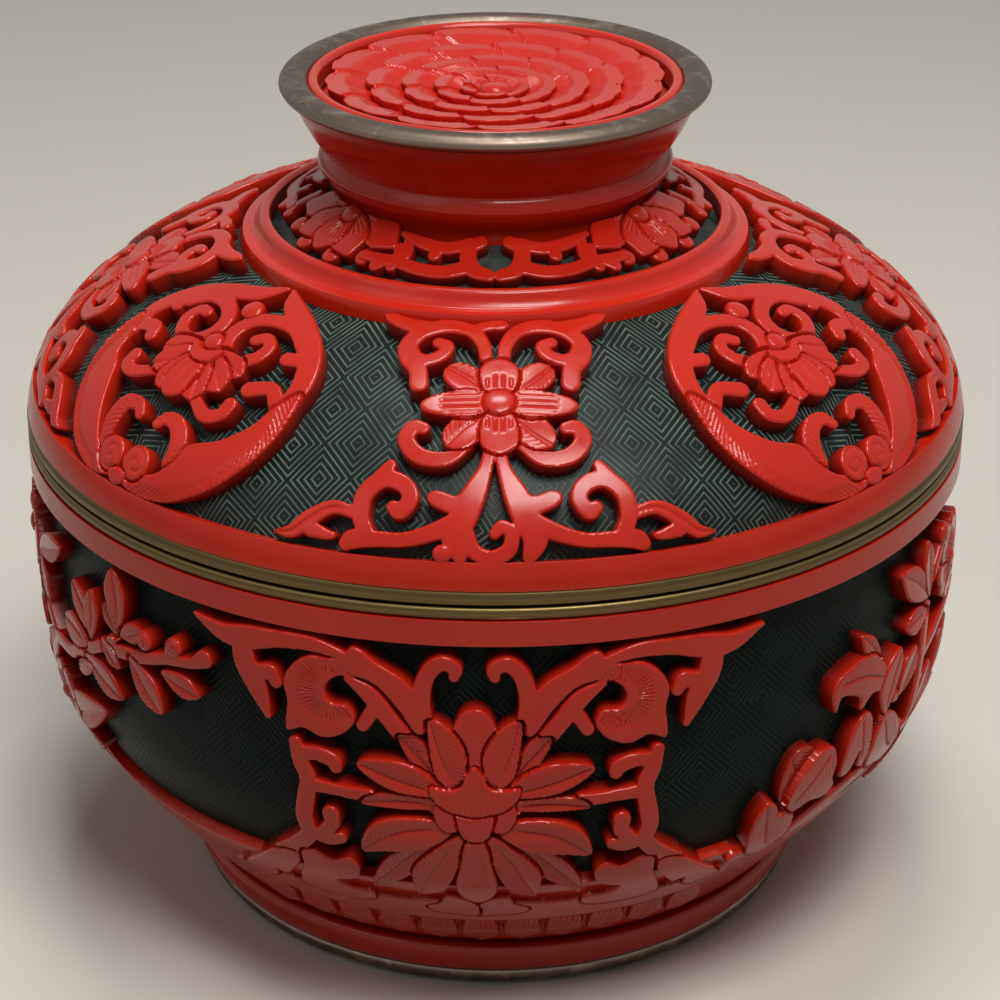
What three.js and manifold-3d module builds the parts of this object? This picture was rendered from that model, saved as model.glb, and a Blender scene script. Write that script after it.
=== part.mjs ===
// Round covered incense box in carved red lacquer over a dark green ground.
// Millimetres, +Z up, origin on the axis in the plane that the foot stands on.
// Bearings are degrees round the axis: 0 is the front (-Y) and 90 is the right (+X).
// The walls are layers laid on one outer surface. Every layer is that surface moved
// inwards by its depth, so that all facets stay parallel.
// A carved piece is drawn flat, on a drawing that keeps angles true, cut along the lines
// where the wall's facets meet, and folded round the wall.

import * as THREE from 'three';
import { mergeVertices } from 'three/addons/utils/BufferGeometryUtils.js';
import Module from 'manifold-3d';

const wasm = await Module();
wasm.setup();

// Driving dimensions of the whole box
const seamRadius = 60;
const seamHeight = 64.75;
const seamGap = 0.3;
const domeRise = 28.3;
const segments = 24;

// Layers of the wall, from the carved surface inwards
const carvingDepth = 2.3;
const groundThickness = 1.2;
const shellThickness = 1;
const liningThickness = 0.5;
const bondGap = 0.1;
const baseBandSetback = 0.8;

// Mouth, rims and bands
const lidRimHeight = 1.8;
const bowlRimHeight = 1.5;
const lidBandInset = 1;
const bowlBandHeight = 3.2;
const lipClearance = 0.5;
const lipThickness = 0.8;
const lipBelowSeam = 7;
const lipAboveSeam = 3.4;
const lipChamfer = 0.9;

// Foot
const bowlBottomRadius = 42.5;
const bowlBottomHeight = 8;
const baseBandHeight = 16.3;
const floorThickness = 1.2;
const floorRise = 1.2;
const footWallInset = 4.2;
const footWallThickness = 1;
const footRimHeight = 2.7;
const footRimWidth = 2.2;
const footRimLowWidth = 0.3;
const footGroove = 0.7;
const footMouldingDrop = 1.3;
const footMouldingWidth = 3.6;
const footMouldingLowWidth = 2.4;
const footPlateThickness = 0.8;

// Collar round the foot of the knob
const knobFootRadius = 20.3;
const scrollFieldInset = 1;
const scrollFieldWidth = 6.9;
const scrollFieldDrop = 3.8;
const scrollDepth = 1.7;
const collarWidth = 3.9;
const collarEdgeInset = 0.7;
const collarEdgeDrop = 0.3;
const collarHollowInset = 2.1;
const collarHollowRise = 0.6;
const collarCrestWidth = 0.7;
const collarCrestRise = 1.7;
const collarInnerRise = 1.5;

// Knob, with heights from its foot and widths from its foot's radius
const knobFootRise = 0.4;
const knobBulgeWidth = 1.8;
const knobBulgeHeight = 2.6;
const knobWaistWidth = 1.2;
const knobWaistHeight = 4.4;
const knobFlareWidth = 4.8;
const knobHeight = 11.3;
const knobLacquerThickness = 1.4;
const knobCoreWall = 1.2;
const beadInset = 0.2;
const beadLift = 0.1;
const beadHalfWidth = 1.77;
const beadHalfHeight = 1.1;
const beadSides = 8;
const discSeatDepth = 0.9;
const discRimThickness = 1.4;
const discRimRise = 1.9;
const discClearance = 0.3;
const discPetals = 12;
const discPetalSteps = 2;
const discRingShares = [1, 0.79, 0.59, 0.41, 0.25];
const discUndercut = 0.5;
const discNotch = 0.9;
const discLipRise = 1.5;
const discRootDepth = 1.5;
const discButtonRadius = 1.9;
const discButtonRise = 0.3;

// Places of the carved pieces round the box
const flowerPanelBearings = [0, 90, 180, 270];
const flowerPanelNames = ['front', 'right', 'back', 'left'];
const medallionBearing = 48;
const medallionLean = 7;
const lotusBearing = -2;
const sprayBearing = 66;
const carvingFootRise = 1.2;
const collarFlowerBearings = [60, 180, 300];
const collarScrollBearings = [0, 120, 240];

// Flat drawings, in squares. Each is scaled to fill its field, so these shares say where
// the field's edges lie on it: out from the axis on the lid and the collar, and down from
// the rim band on the bowl.
const squareWidth = 10;
const plateThickness = 1;
const cutterMargin = 1;
const lidFieldNearShare = 3.127;
const lidFieldFarShare = 6.545;
const bowlFieldShare = 6.024;
const bowlTurnShare = 6;
const collarFieldFarShare = 2.81;
const tableSteps = 400;
const weldDistance = bondGap / 1000;
const cutTolerance = bondGap / 100;
const chartReach = 6;

// Materials
const redLacquer = { color: '#a92a1c', roughness: 0.35, metalness: 0 };
const greenGround = { color: '#17302b', roughness: 0.55, metalness: 0 };
const blackLacquer = { color: '#121212', roughness: 0.3, metalness: 0 };
const copper = { color: '#8a5a3a', roughness: 0.45, metalness: 1 };
const brass = { color: '#7d6a42', roughness: 0.4, metalness: 1 };
const bronze = { color: '#6e655a', roughness: 0.45, metalness: 1 };

const box = new THREE.Group();

// Solids

// Leaves only shared corner points, drops flat triangles and turns the faces outwards.
function tidySolid(geometry) {
  const bare = geometry.clone();
  for (const name of Object.keys(bare.attributes)) {
    if (name !== 'position') bare.deleteAttribute(name);
  }
  const merged = mergeVertices(bare, weldDistance);
  const place = merged.attributes.position;
  const kept = [];
  let volume = 0;
  const corners = [new THREE.Vector3(), new THREE.Vector3(), new THREE.Vector3()];
  for (let i = 0; i < merged.index.count; i += 3) {
    const triangle = [0, 1, 2].map((k) => merged.index.getX(i + k));
    if (new Set(triangle).size < 3) continue;
    kept.push(triangle);
    corners.forEach((corner, k) => corner.fromBufferAttribute(place, triangle[k]));
    volume += corners[0].dot(corners[1].clone().cross(corners[2]));
  }
  if (volume < 0) kept.forEach((triangle) => triangle.reverse());
  merged.setIndex(kept.flat());
  return merged;
}

function toSolid(geometry) {
  const tidy = tidySolid(geometry);
  return new wasm.Manifold(new wasm.Mesh({
    numProp: 3,
    vertProperties: new Float32Array(tidy.attributes.position.array),
    triVerts: new Uint32Array(tidy.index.array),
  }));
}

function fromSolid(solid) {
  const mesh = solid.getMesh();
  const geometry = new THREE.BufferGeometry();
  geometry.setAttribute('position', new THREE.BufferAttribute(mesh.vertProperties, 3));
  geometry.setIndex(new THREE.BufferAttribute(mesh.triVerts, 1));
  return geometry;
}

function addPiece(name, geometry, look) {
  const mesh = new THREE.Mesh(tidySolid(geometry), new THREE.MeshStandardMaterial(look));
  mesh.name = name;
  box.add(mesh);
}

// Turns a profile of [radius, height] points round the box's axis. The middle of a facet
// faces the front.
function turned(profile, sides = segments) {
  const onAxis = profile[0][0] === 0;
  const loop = onAxis ? profile : [...profile, profile[0]];
  const points = loop.map(([r, z]) => new THREE.Vector2(r, z));
  return new THREE.LatheGeometry(points, sides, Math.PI / sides).rotateX(Math.PI / 2);
}

// The outer surface of the bowl and the lid

// From the bowl's bottom, 0, to the seam, 1: across and up.
const bowlShapeShares = [
  [1, 0.97], [1.007, 0.81], [1.003, 0.63], [0.96, 0.46], [0.85, 0.355], [0.72, 0.275],
  [0.435, 0.16], [0.195, 0.07], [0, 0],
];
const bowlCurve = new THREE.SplineCurve(bowlShapeShares.map(([across, up]) => new THREE.Vector2(
  THREE.MathUtils.lerp(bowlBottomRadius, seamRadius, across),
  THREE.MathUtils.lerp(bowlBottomHeight, seamHeight, up),
)));

function lidOutside(share) {
  const angle = (1 - share) * Math.PI / 2;
  return new THREE.Vector2(seamRadius * Math.cos(angle), seamHeight + domeRise * Math.sin(angle));
}

function bowlOutside(share) {
  return bowlCurve.getPoint(share);
}

// Walks down a surface and adds up step over radius. That sum is the distance on a flat
// drawing which keeps angles true. Each row also holds the outward normal.
function surveySurface(outside) {
  const rows = [];
  let travel = 0;
  let last = outside(0);
  for (let i = 1; i <= tableSteps; i += 1) {
    const here = outside(i / tableSteps);
    const step = here.clone().sub(last);
    const middle = here.clone().add(last).multiplyScalar(0.5);
    travel += step.length() / middle.x;
    const normal = new THREE.Vector2(-step.y, step.x).normalize();
    rows.push({ travel, radius: here.x, height: here.y, normal });
    last = here;
  }
  return rows;
}

// Finds the row of a survey where one of its columns passes a value.
function lookUp(rows, column, value) {
  const rising = rows[rows.length - 1][column] > rows[0][column];
  const passed = (row) => (rising ? row[column] >= value : row[column] <= value);
  const after = Math.max(1, rows.findIndex(passed));
  const a = rows[after - 1];
  const b = rows[after];
  const share = THREE.MathUtils.clamp((value - a[column]) / (b[column] - a[column]), 0, 1);
  const mix = (key) => THREE.MathUtils.lerp(a[key], b[key], share);
  const normal = a.normal.clone().lerp(b.normal, share).normalize();
  return { travel: mix('travel'), radius: mix('radius'), height: mix('height'), normal };
}

const lidRows = surveySurface(lidOutside);
const bowlRows = surveySurface(bowlOutside);
const lidBandTopRadius = seamRadius - lidBandInset;
const baseBandTop = bowlBottomHeight + baseBandHeight;
const bowlBandBottom = seamHeight - seamGap / 2 - bowlRimHeight - bowlBandHeight;

// The collar stands on the lid, and the knob stands inside it
const scrollInnerRadius = knobFootRadius + scrollFieldInset;
const collarInnerRadius = scrollInnerRadius + scrollFieldWidth;
const collarOuterRadius = collarInnerRadius + collarWidth;
const collarSeatHeight = lookUp(lidRows, 'radius', collarOuterRadius).height;
const scrollOuterHeight = collarSeatHeight + collarInnerRise;
const scrollInnerHeight = scrollOuterHeight + scrollFieldDrop;
const knobFootHeight = scrollInnerHeight + knobFootRise;
const knobTopHeight = knobFootHeight + knobHeight;
const knobFlareRadius = knobFootRadius + knobFlareWidth;
const beadRadius = knobFlareRadius - beadInset;
const beadHeight = knobTopHeight + beadLift + beadHalfHeight;
const discSeatHeight = knobTopHeight - discSeatDepth;

// The sloping field round the knob
const scrollSlope = new THREE.Vector2(
  scrollInnerHeight - scrollOuterHeight,
  collarInnerRadius - scrollInnerRadius,
).normalize();
function scrollSurface(radius, depth) {
  const share = (radius - scrollInnerRadius) / (collarInnerRadius - scrollInnerRadius);
  const height = THREE.MathUtils.lerp(scrollInnerHeight, scrollOuterHeight, share);
  return height - depth / scrollSlope.y;
}

// Stations: the places where every layer of a wall has a corner

function lidStation(radius) {
  return lookUp(lidRows, 'radius', radius);
}

function bowlStation(height) {
  return lookUp(bowlRows, 'height', height);
}

const outwards = new THREE.Vector2(1, 0);
const upwards = new THREE.Vector2(0, 1);
const lidWallFoot = seamHeight + seamGap / 2 + lidRimHeight + bondGap;
const bowlWallTop = seamHeight - seamGap / 2 - bowlRimHeight - bondGap;
const lidFieldShares = [0.38, 0.74];
const bowlFieldShares = [0.56, 0.82];
const lidStations = [
  { ...lidStation(knobFootRadius), normal: upwards },
  { ...lidStation(collarOuterRadius), normal: upwards },
  ...lidFieldShares.map((share) => lidStation(
    THREE.MathUtils.lerp(collarOuterRadius, lidBandTopRadius, share),
  )),
  lidStation(lidBandTopRadius),
  { ...lookUp(lidRows, 'height', lidWallFoot), normal: outwards },
];
const bowlStations = [
  { ...bowlStation(bowlWallTop), normal: outwards },
  bowlStation(bowlBandBottom),
  ...bowlFieldShares.map((share) => bowlStation(
    THREE.MathUtils.lerp(bowlBandBottom, baseBandTop, share),
  )),
  bowlStation(baseBandTop),
  bowlStation(bowlBottomHeight),
];

// The corners of one layer surface, a given depth under the outside.
function layer(stations, depth) {
  return stations.map(({ radius, height, normal }) => [
    radius - depth * normal.x,
    height - depth * normal.y,
  ]);
}

// A closed profile between two depths.
function skin(stations, from, to) {
  return [...layer(stations, from), ...layer(stations, to).reverse()];
}

const groundInside = carvingDepth + groundThickness;
const shellOutside = groundInside + bondGap;
const shellInside = shellOutside + shellThickness;
const liningOutside = shellInside + bondGap;
const liningInside = liningOutside + liningThickness;
const reliefInside = carvingDepth - bondGap;
const mouthRadius = seamRadius - liningInside;

// Height of a layer of the lid at a radius, along its straight facets.
function lidLayerHeight(depth, radius) {
  const corners = [[0, seamHeight + domeRise - depth], ...layer(lidStations, depth)];
  const after = Math.max(1, corners.findIndex(([r]) => r >= radius));
  const [r0, z0] = corners[after - 1];
  const [r1, z1] = corners[after];
  return THREE.MathUtils.lerp(z0, z1, (radius - r0) / (r1 - r0));
}

// Bowl

const floorUnderside = bowlBottomHeight + floorRise;
const footWallRadius = bowlBottomRadius - footWallInset;
const footWallInside = footWallRadius - footWallThickness;

function makeBowlWalls() {
  const floorTop = floorUnderside + floorThickness;
  const liningFloor = floorTop + bondGap;
  const shellWall = layer(bowlStations, shellOutside);
  const shellInner = layer(bowlStations, shellInside);
  addPiece('bowl_shell', turned([
    [0, floorUnderside],
    [footWallInside, floorUnderside],
    [footWallInside, footRimHeight + bondGap],
    [footWallRadius, footRimHeight + bondGap],
    [footWallRadius, floorUnderside],
    ...shellWall.reverse(),
    ...shellInner,
    [footWallInside, floorTop],
    [0, floorTop],
  ]), copper);
  addPiece('bowl_lining', turned([
    [0, liningFloor],
    [footWallInside, liningFloor],
    ...layer(bowlStations, liningOutside).reverse(),
    ...layer(bowlStations, liningInside),
    [footWallInside - liningThickness, liningFloor + liningThickness],
    [0, liningFloor + liningThickness],
  ]), blackLacquer);
  addPiece('bowl_ground', turned(skin(bowlStations, carvingDepth, groundInside)), greenGround);
  const rimBand = bowlStations.slice(0, 2);
  const baseBand = bowlStations.slice(4);
  addPiece('bowl_rim_band', turned(skin(rimBand, 0, reliefInside)), redLacquer);
  addPiece('bowl_base_band', turned(skin(baseBand, baseBandSetback, reliefInside)), redLacquer);
}

function makeBowlMouth() {
  const rimTop = seamHeight - seamGap / 2;
  addPiece('bowl_mouth_rim', turned([
    [mouthRadius, rimTop - bowlRimHeight],
    [seamRadius, rimTop - bowlRimHeight],
    [seamRadius, rimTop],
    [mouthRadius, rimTop],
  ]), brass);
  const lipOuter = mouthRadius - lipClearance;
  const lipTop = seamHeight + lipAboveSeam;
  addPiece('bowl_locating_lip', turned([
    [lipOuter, seamHeight - lipBelowSeam],
    [lipOuter, lipTop - lipChamfer],
    [lipOuter - lipThickness / 2, lipTop],
    [lipOuter - lipThickness, lipTop],
    [lipOuter - lipThickness, seamHeight - lipBelowSeam],
  ]), brass);
}

function makeFoot() {
  const mouldingInside = footWallRadius + bondGap;
  const mouldingTop = bowlBottomHeight - footGroove;
  addPiece('bowl_foot_moulding', turned([
    [mouldingInside, footRimHeight + bondGap],
    [footWallRadius + footMouldingLowWidth, footRimHeight + bondGap],
    [footWallRadius + footMouldingWidth, mouldingTop - footMouldingDrop],
    [footWallRadius + footMouldingLowWidth, mouldingTop],
    [mouldingInside, mouldingTop],
  ]), redLacquer);
  const rimRadius = footWallRadius + footRimWidth;
  addPiece('bowl_foot_rim', turned([
    [footWallInside, 0],
    [footWallRadius + footRimLowWidth, 0],
    [rimRadius, footRimHeight / 2],
    [rimRadius, footRimHeight],
    [footWallInside, footRimHeight],
  ]), bronze);
  const plateRadius = footWallInside - bondGap;
  const plateTop = floorUnderside - bondGap;
  addPiece('bowl_underside_lacquer', turned([
    [0, plateTop - footPlateThickness],
    [plateRadius, plateTop - footPlateThickness],
    [plateRadius, plateTop],
    [0, plateTop],
  ]), blackLacquer);
}

// Lid

function makeLidWalls() {
  const dome = (depth) => [[0, seamHeight + domeRise - depth], ...layer(lidStations, depth)];
  const domeSkin = (from, to) => [...dome(from), ...dome(to).reverse()];
  addPiece('lid_shell', turned(domeSkin(shellOutside, shellInside)), copper);
  addPiece('lid_lining', turned(domeSkin(liningOutside, liningInside)), blackLacquer);
  const field = lidStations.slice(1);
  const edge = lidStations.slice(4);
  addPiece('lid_ground', turned(skin(field, carvingDepth, groundInside)), greenGround);
  addPiece('lid_edge_band', turned(skin(edge, 0, reliefInside)), redLacquer);
  const rimFoot = seamHeight + seamGap / 2;
  addPiece('lid_mouth_rim', turned([
    [mouthRadius, rimFoot],
    [seamRadius, rimFoot],
    [lookUp(lidRows, 'height', rimFoot + lidRimHeight).radius, rimFoot + lidRimHeight],
    [mouthRadius, rimFoot + lidRimHeight],
  ]), brass);
}

function makeCollar() {
  const ringInner = collarInnerRadius + bondGap;
  const ringOuter = collarOuterRadius - bondGap;
  addPiece('lid_collar_ring', turned([
    [ringInner, lidLayerHeight(groundInside, ringInner)],
    [ringOuter, lidLayerHeight(groundInside, ringOuter)],
    [collarOuterRadius - collarEdgeInset, collarSeatHeight - collarEdgeDrop],
    [collarOuterRadius - collarHollowInset, collarSeatHeight + collarHollowRise],
    [collarInnerRadius + collarCrestWidth, collarSeatHeight + collarCrestRise],
    [ringInner, collarSeatHeight + collarCrestRise],
  ]), redLacquer);
  const inner = knobFootRadius + bondGap;
  const outer = collarInnerRadius;
  addPiece('lid_collar_ground', turned([
    [inner, lidLayerHeight(groundInside, inner)],
    [outer, lidLayerHeight(groundInside, outer)],
    [outer, scrollSurface(outer, scrollDepth)],
    [inner, scrollSurface(inner, scrollDepth)],
  ]), greenGround);
}

// Knob

const mixPoint = (a, b, r, z) => [
  THREE.MathUtils.lerp(a[0], b[0], r),
  THREE.MathUtils.lerp(a[1], b[1], z),
];
const inset = (points, by) => points.map(([r, z]) => [r - by, z]);

// From the foot of the knob up over its bulge and waist to the flare under the bead.
function knobOutline() {
  const onFoot = (width, height) => [knobFootRadius + width, knobFootHeight + height];
  const waist = onFoot(knobWaistWidth, knobWaistHeight);
  const flare = [knobFlareRadius, knobTopHeight];
  const flareShares = [[0.3, 0.36], [0.72, 0.7]];
  return [
    [knobFootRadius, knobFootHeight],
    onFoot(knobBulgeWidth, knobBulgeHeight),
    waist,
    ...flareShares.map(([r, z]) => mixPoint(waist, flare, r, z)),
    flare,
  ];
}

function makeKnob() {
  const outline = knobOutline();
  const seatRadius = beadRadius - beadHalfWidth;
  const bodyInside = knobFootRadius - knobLacquerThickness;
  const bodyInner = inset(outline.slice(0, -1), knobLacquerThickness);
  addPiece('knob_body', turned([
    [knobFootRadius, lidLayerHeight(groundInside, knobFootRadius)],
    ...outline,
    [seatRadius, knobTopHeight],
    [seatRadius, discSeatHeight - bondGap],
    ...bodyInner.reverse(),
    [bodyInside, lidLayerHeight(groundInside, bodyInside)],
  ]), redLacquer);
  const coreOutside = bodyInside - bondGap;
  const coreInside = coreOutside - knobCoreWall;
  const coreTop = discSeatHeight - bondGap;
  addPiece('knob_core', turned([
    [coreOutside, lidLayerHeight(groundInside, coreOutside)],
    [coreOutside, coreTop],
    [0, coreTop],
    [0, coreTop - knobCoreWall],
    [coreInside, coreTop - knobCoreWall],
    [coreInside, lidLayerHeight(groundInside, coreInside)],
  ]), copper);
}

function makeKnobTop() {
  const bead = [];
  for (let i = 0; i < beadSides; i += 1) {
    const angle = 2 * Math.PI * (i + 0.5) / beadSides;
    bead.push([
      beadRadius + beadHalfWidth * Math.cos(angle),
      beadHeight + beadHalfHeight * Math.sin(angle),
    ]);
  }
  addPiece('knob_rim_bead', turned(bead), bronze);
  const rimOuter = beadRadius - beadHalfWidth - bondGap;
  const rimInner = rimOuter - discRimThickness;
  addPiece('knob_disc_rim', turned([
    [rimInner, discSeatHeight],
    [rimOuter, discSeatHeight],
    [rimOuter, knobTopHeight + discRimRise],
    [rimInner, knobTopHeight + discRimRise],
  ]), redLacquer);
  addPiece('knob_flower_disc', flowerDisc(rimInner - discClearance), redLacquer);
}

// Rings of petals like shallow dishes, one inside another. Every lip stands over the root
// of the ring outside it, and is drawn in where two petals meet.
function flowerDisc(radius) {
  const lipHeight = knobTopHeight + discLipRise;
  const rootHeight = lipHeight - discRootDepth;
  const buttonHeight = knobTopHeight + discButtonRise;
  const profile = [[0, discSeatHeight], [radius - discUndercut, discSeatHeight]];
  const lips = discRingShares.map((share) => share * radius);
  lips.forEach((lip, ring) => {
    const next = ring + 1 < lips.length ? lips[ring + 1] - discUndercut : discButtonRadius;
    profile.push([lip, lipHeight], [next, rootHeight]);
  });
  profile.push([discButtonRadius - discUndercut, buttonHeight], [0, buttonHeight]);
  const sides = discPetals * discPetalSteps;
  const geometry = turned(profile, sides);
  const place = geometry.attributes.position;
  for (let column = 0; column <= sides; column += discPetalSteps) {
    lips.forEach((lip, ring) => {
      const i = column * profile.length + 2 + 2 * ring;
      const shrink = 1 - discNotch / lip;
      place.setXY(i, place.getX(i) * shrink, place.getY(i) * shrink);
    });
  }
  return geometry;
}

// Carving: charts that fold a flat drawing round a wall
// A chart's rows lie at the stations of its wall. Each row has the corner of the carved
// surface and of its underside, and both are flat from one row and one facet to the next.

const facetAngle = 2 * Math.PI / segments;
const inSquares = (x, y) => new THREE.Vector2(x, y).multiplyScalar(squareWidth);

// How far the flat facet reaches at a turn, as a share of the reach of its corners.
function facetReach(turn) {
  const fromMiddle = turn - Math.round(turn / facetAngle) * facetAngle;
  return Math.cos(facetAngle / 2) / Math.cos(fromMiddle);
}

function chartRow(station, depth) {
  return {
    travel: station.travel,
    outer: layer([station], 0)[0],
    inner: layer([station], depth)[0],
  };
}

// The lid's drawing: across, and out from the axis.
const lidFieldRows = [...lidStations.slice(1, 4), lidStation(lidBandTopRadius - bondGap)];
const lidFieldTravel = lidFieldRows[0].travel;
const lidScale = (lidFieldRows[lidFieldRows.length - 1].travel - lidFieldTravel)
  / Math.log(lidFieldFarShare / lidFieldNearShare);
const lidChart = {
  rows: lidFieldRows.map((station) => chartRow(station, reliefInside)),
  unroll(x, y, bearing) {
    const turn = Math.atan2(x, y) * lidScale + bearing;
    const out = Math.log(Math.hypot(x, y) / squareWidth / lidFieldNearShare);
    return { turn, travel: lidFieldTravel + out * lidScale - Math.log(facetReach(turn)) };
  },
  flatten(turn, travel, bearing) {
    const reach = lidFieldNearShare * Math.exp((travel - lidFieldTravel) / lidScale);
    const angle = (turn - bearing) / lidScale;
    return inSquares(reach * Math.sin(angle), reach * Math.cos(angle));
  },
};

// The bowl's drawing: across, and down from the lower edge of the rim band. The carving
// thins out where it runs down over the base band.
const bowlFieldTravel = bowlStation(bowlBandBottom).travel;
const bowlFootStation = bowlStation(bowlBottomHeight + carvingFootRise);
const bowlScale = (bowlFootStation.travel - bowlFieldTravel) / bowlFieldShare * bowlTurnShare;
const bowlChart = {
  rows: [
    ...[bowlStation(bowlBandBottom - bondGap), ...bowlStations.slice(2, 4)]
      .map((station) => chartRow(station, reliefInside)),
    chartRow(bowlStation(baseBandTop + 2 * bondGap), reliefInside),
    ...[bowlStations[4], bowlFootStation]
      .map((station) => chartRow(station, baseBandSetback - bondGap)),
  ],
  unroll(x, y, bearing) {
    const squares = bowlScale / squareWidth / bowlTurnShare;
    return { turn: x * squares + bearing, travel: bowlFieldTravel + y * squares };
  },
  flatten(turn, travel, bearing) {
    const squares = bowlScale / bowlTurnShare;
    return inSquares((turn - bearing) / squares, (travel - bowlFieldTravel) / squares);
  },
};

// The drawing of the sloping field round the knob: across, and out from the axis.
const collarChart = {
  rows: [scrollInnerRadius, collarInnerRadius - bondGap].map((radius) => ({
    travel: radius,
    outer: [radius, scrollSurface(radius, 0)],
    inner: [radius, scrollSurface(radius, scrollDepth - bondGap)],
  })),
  unroll(x, y, bearing) {
    const turn = Math.atan2(x, y) + bearing;
    const share = Math.hypot(x, y) / squareWidth / collarFieldFarShare;
    return { turn, travel: collarInnerRadius * share / facetReach(turn) };
  },
  flatten(turn, travel, bearing) {
    const reach = travel / collarInnerRadius * collarFieldFarShare;
    return inSquares(reach * Math.sin(turn - bearing), reach * Math.cos(turn - bearing));
  },
};

// Prism as thick as a plate, with a margin above and below where it cuts plates.
function prism(shape, margin = 0) {
  const depth = plateThickness + 2 * margin;
  const geometry = new THREE.ExtrudeGeometry(shape, { depth, bevelEnabled: false });
  return toSolid(geometry.translate(0, 0, -margin));
}

// Joins flat shapes into one plate.
function plate(shapes) {
  return shapes.map((shape) => prism(shape)).reduce((joined, next) => joined.add(next));
}

// The four-sided cells of the drawing: one for each facet and each pair of rows. The cut
// sides of a cell are those where another cell follows.
function chartCells(chart, bearing) {
  const cells = [];
  const last = chart.rows.length - 2;
  const middle = Math.round(bearing / facetAngle);
  for (let k = middle - chartReach; k <= middle + chartReach; k += 1) {
    const turns = [k - 0.5, k + 0.5, k + 0.5, k - 0.5].map((step) => step * facetAngle);
    for (let row = 0; row <= last; row += 1) {
      const near = chart.rows[row].travel;
      const far = chart.rows[row + 1].travel;
      const corners = [near, near, far, far]
        .map((travel, i) => chart.flatten(turns[i], travel, bearing));
      cells.push({ corners, isCut: [row > 0, true, row < last, true] });
    }
  }
  return cells;
}

// Cuts a plate into cells and leaves out the cut faces, so it stays one closed skin.
function cutIntoCells(flat, chart, bearing) {
  const places = [];
  for (const { corners, isCut } of chartCells(chart, bearing)) {
    const cutter = prism(new THREE.Shape(corners), cutterMargin);
    const part = fromSolid(flat.intersect(cutter)).toNonIndexed();
    const point = part.attributes.position;
    const onSide = (i, side) => {
      const along = corners[(side + 1) % corners.length].clone().sub(corners[side]).normalize();
      const off = new THREE.Vector2(point.getX(i), point.getY(i)).sub(corners[side]);
      return Math.abs(off.cross(along)) < weldDistance;
    };
    for (let i = 0; i < point.count; i += 3) {
      const triangle = [i, i + 1, i + 2];
      if (isCut.some((cut, side) => cut && triangle.every((k) => onSide(k, side)))) continue;
      triangle.forEach((k) => places.push(point.getX(k), point.getY(k), point.getZ(k)));
    }
  }
  const geometry = new THREE.BufferGeometry();
  geometry.setAttribute('position', new THREE.Float32BufferAttribute(places, 3));
  return matchCuts(mergeVertices(geometry, weldDistance));
}

// Splits a triangle where a corner of its neighbour across a cut lies inside its edge.
function matchCuts(geometry) {
  const corner = (i) => new THREE.Vector3().fromBufferAttribute(geometry.attributes.position, i);
  const triangles = [];
  for (let i = 0; i < geometry.index.count; i += 3) {
    triangles.push([0, 1, 2].map((k) => geometry.index.getX(i + k)));
  }
  const edgesOf = ([a, b, c]) => [[a, b, c], [b, c, a], [c, a, b]];
  const openEdges = () => {
    const used = new Set(triangles.flatMap((t) => edgesOf(t).map(([a, b]) => `${a} ${b}`)));
    return triangles.flatMap((t, index) => edgesOf(t)
      .filter(([a, b]) => !used.has(`${b} ${a}`))
      .map((edge) => ({ edge, index })));
  };
  const inside = (c, a, b) => {
    const line = new THREE.Line3(corner(a), corner(b));
    const share = line.closestPointToPointParameter(corner(c), false);
    const foot = line.at(share, new THREE.Vector3());
    return share > 0 && share < 1 && foot.distanceTo(corner(c)) < cutTolerance;
  };
  for (let open = openEdges(); open.length > 0; open = openEdges()) {
    const ends = [...new Set(open.flatMap(({ edge }) => edge.slice(0, 2)))];
    const found = open
      .map(({ edge: [a, b, c], index }) => ({
        a, b, c, index, middle: ends.find((i) => i !== a && i !== b && inside(i, a, b)),
      }))
      .find(({ middle }) => middle !== undefined);
    if (!found) break;
    const { a, b, c, index, middle } = found;
    triangles.splice(index, 1, [a, middle, c], [middle, b, c]);
  }
  geometry.setIndex(triangles.flat());
  return geometry;
}

// Folds a plate round its wall: the top goes to the carved surface, the rest to its underside.
function carve(name, flat, chart, degrees) {
  const bearing = THREE.MathUtils.degToRad(degrees);
  const geometry = cutIntoCells(flat, chart, bearing);
  const point = geometry.attributes.position;
  const { rows } = chart;
  for (let i = 0; i < point.count; i += 1) {
    const { turn, travel } = chart.unroll(point.getX(i), point.getY(i), bearing);
    const passed = rows.findIndex((row) => row.travel > travel);
    const after = passed < 0 ? rows.length - 1 : Math.max(1, passed);
    const [a, b] = [rows[after - 1], rows[after]];
    const share = THREE.MathUtils.clamp((travel - a.travel) / (b.travel - a.travel), 0, 1);
    const level = point.getZ(i) > 0 ? 'outer' : 'inner';
    const radius = THREE.MathUtils.lerp(a[level][0], b[level][0], share) * facetReach(turn);
    const height = THREE.MathUtils.lerp(a[level][1], b[level][1], share);
    point.setXYZ(i, radius * Math.sin(turn), -radius * Math.cos(turn), height);
  }
  addPiece(name, geometry, redLacquer);
}

// Shapes of the drawings, in squares

const bothSides = (draw) => [1, -1].flatMap((side) => draw(side));

function outline(shares, side = 1) {
  return new THREE.Shape(shares.map(([x, y]) => inSquares(side * x, y)));
}

// A scroll is a line of [across, out, width] places.
function scroll(shares, side = 1) {
  const points = shares.map(([x, y]) => inSquares(side * x, y));
  const left = [];
  const right = [];
  points.forEach((point, i) => {
    const before = points[Math.max(0, i - 1)];
    const after = points[Math.min(points.length - 1, i + 1)];
    const along = after.clone().sub(before).normalize();
    const half = inSquares(-along.y, along.x).multiplyScalar(shares[i][2] / 2);
    left.push(point.clone().add(half));
    right.unshift(point.clone().sub(half));
  });
  return new THREE.Shape([...left, ...right]);
}

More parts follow.
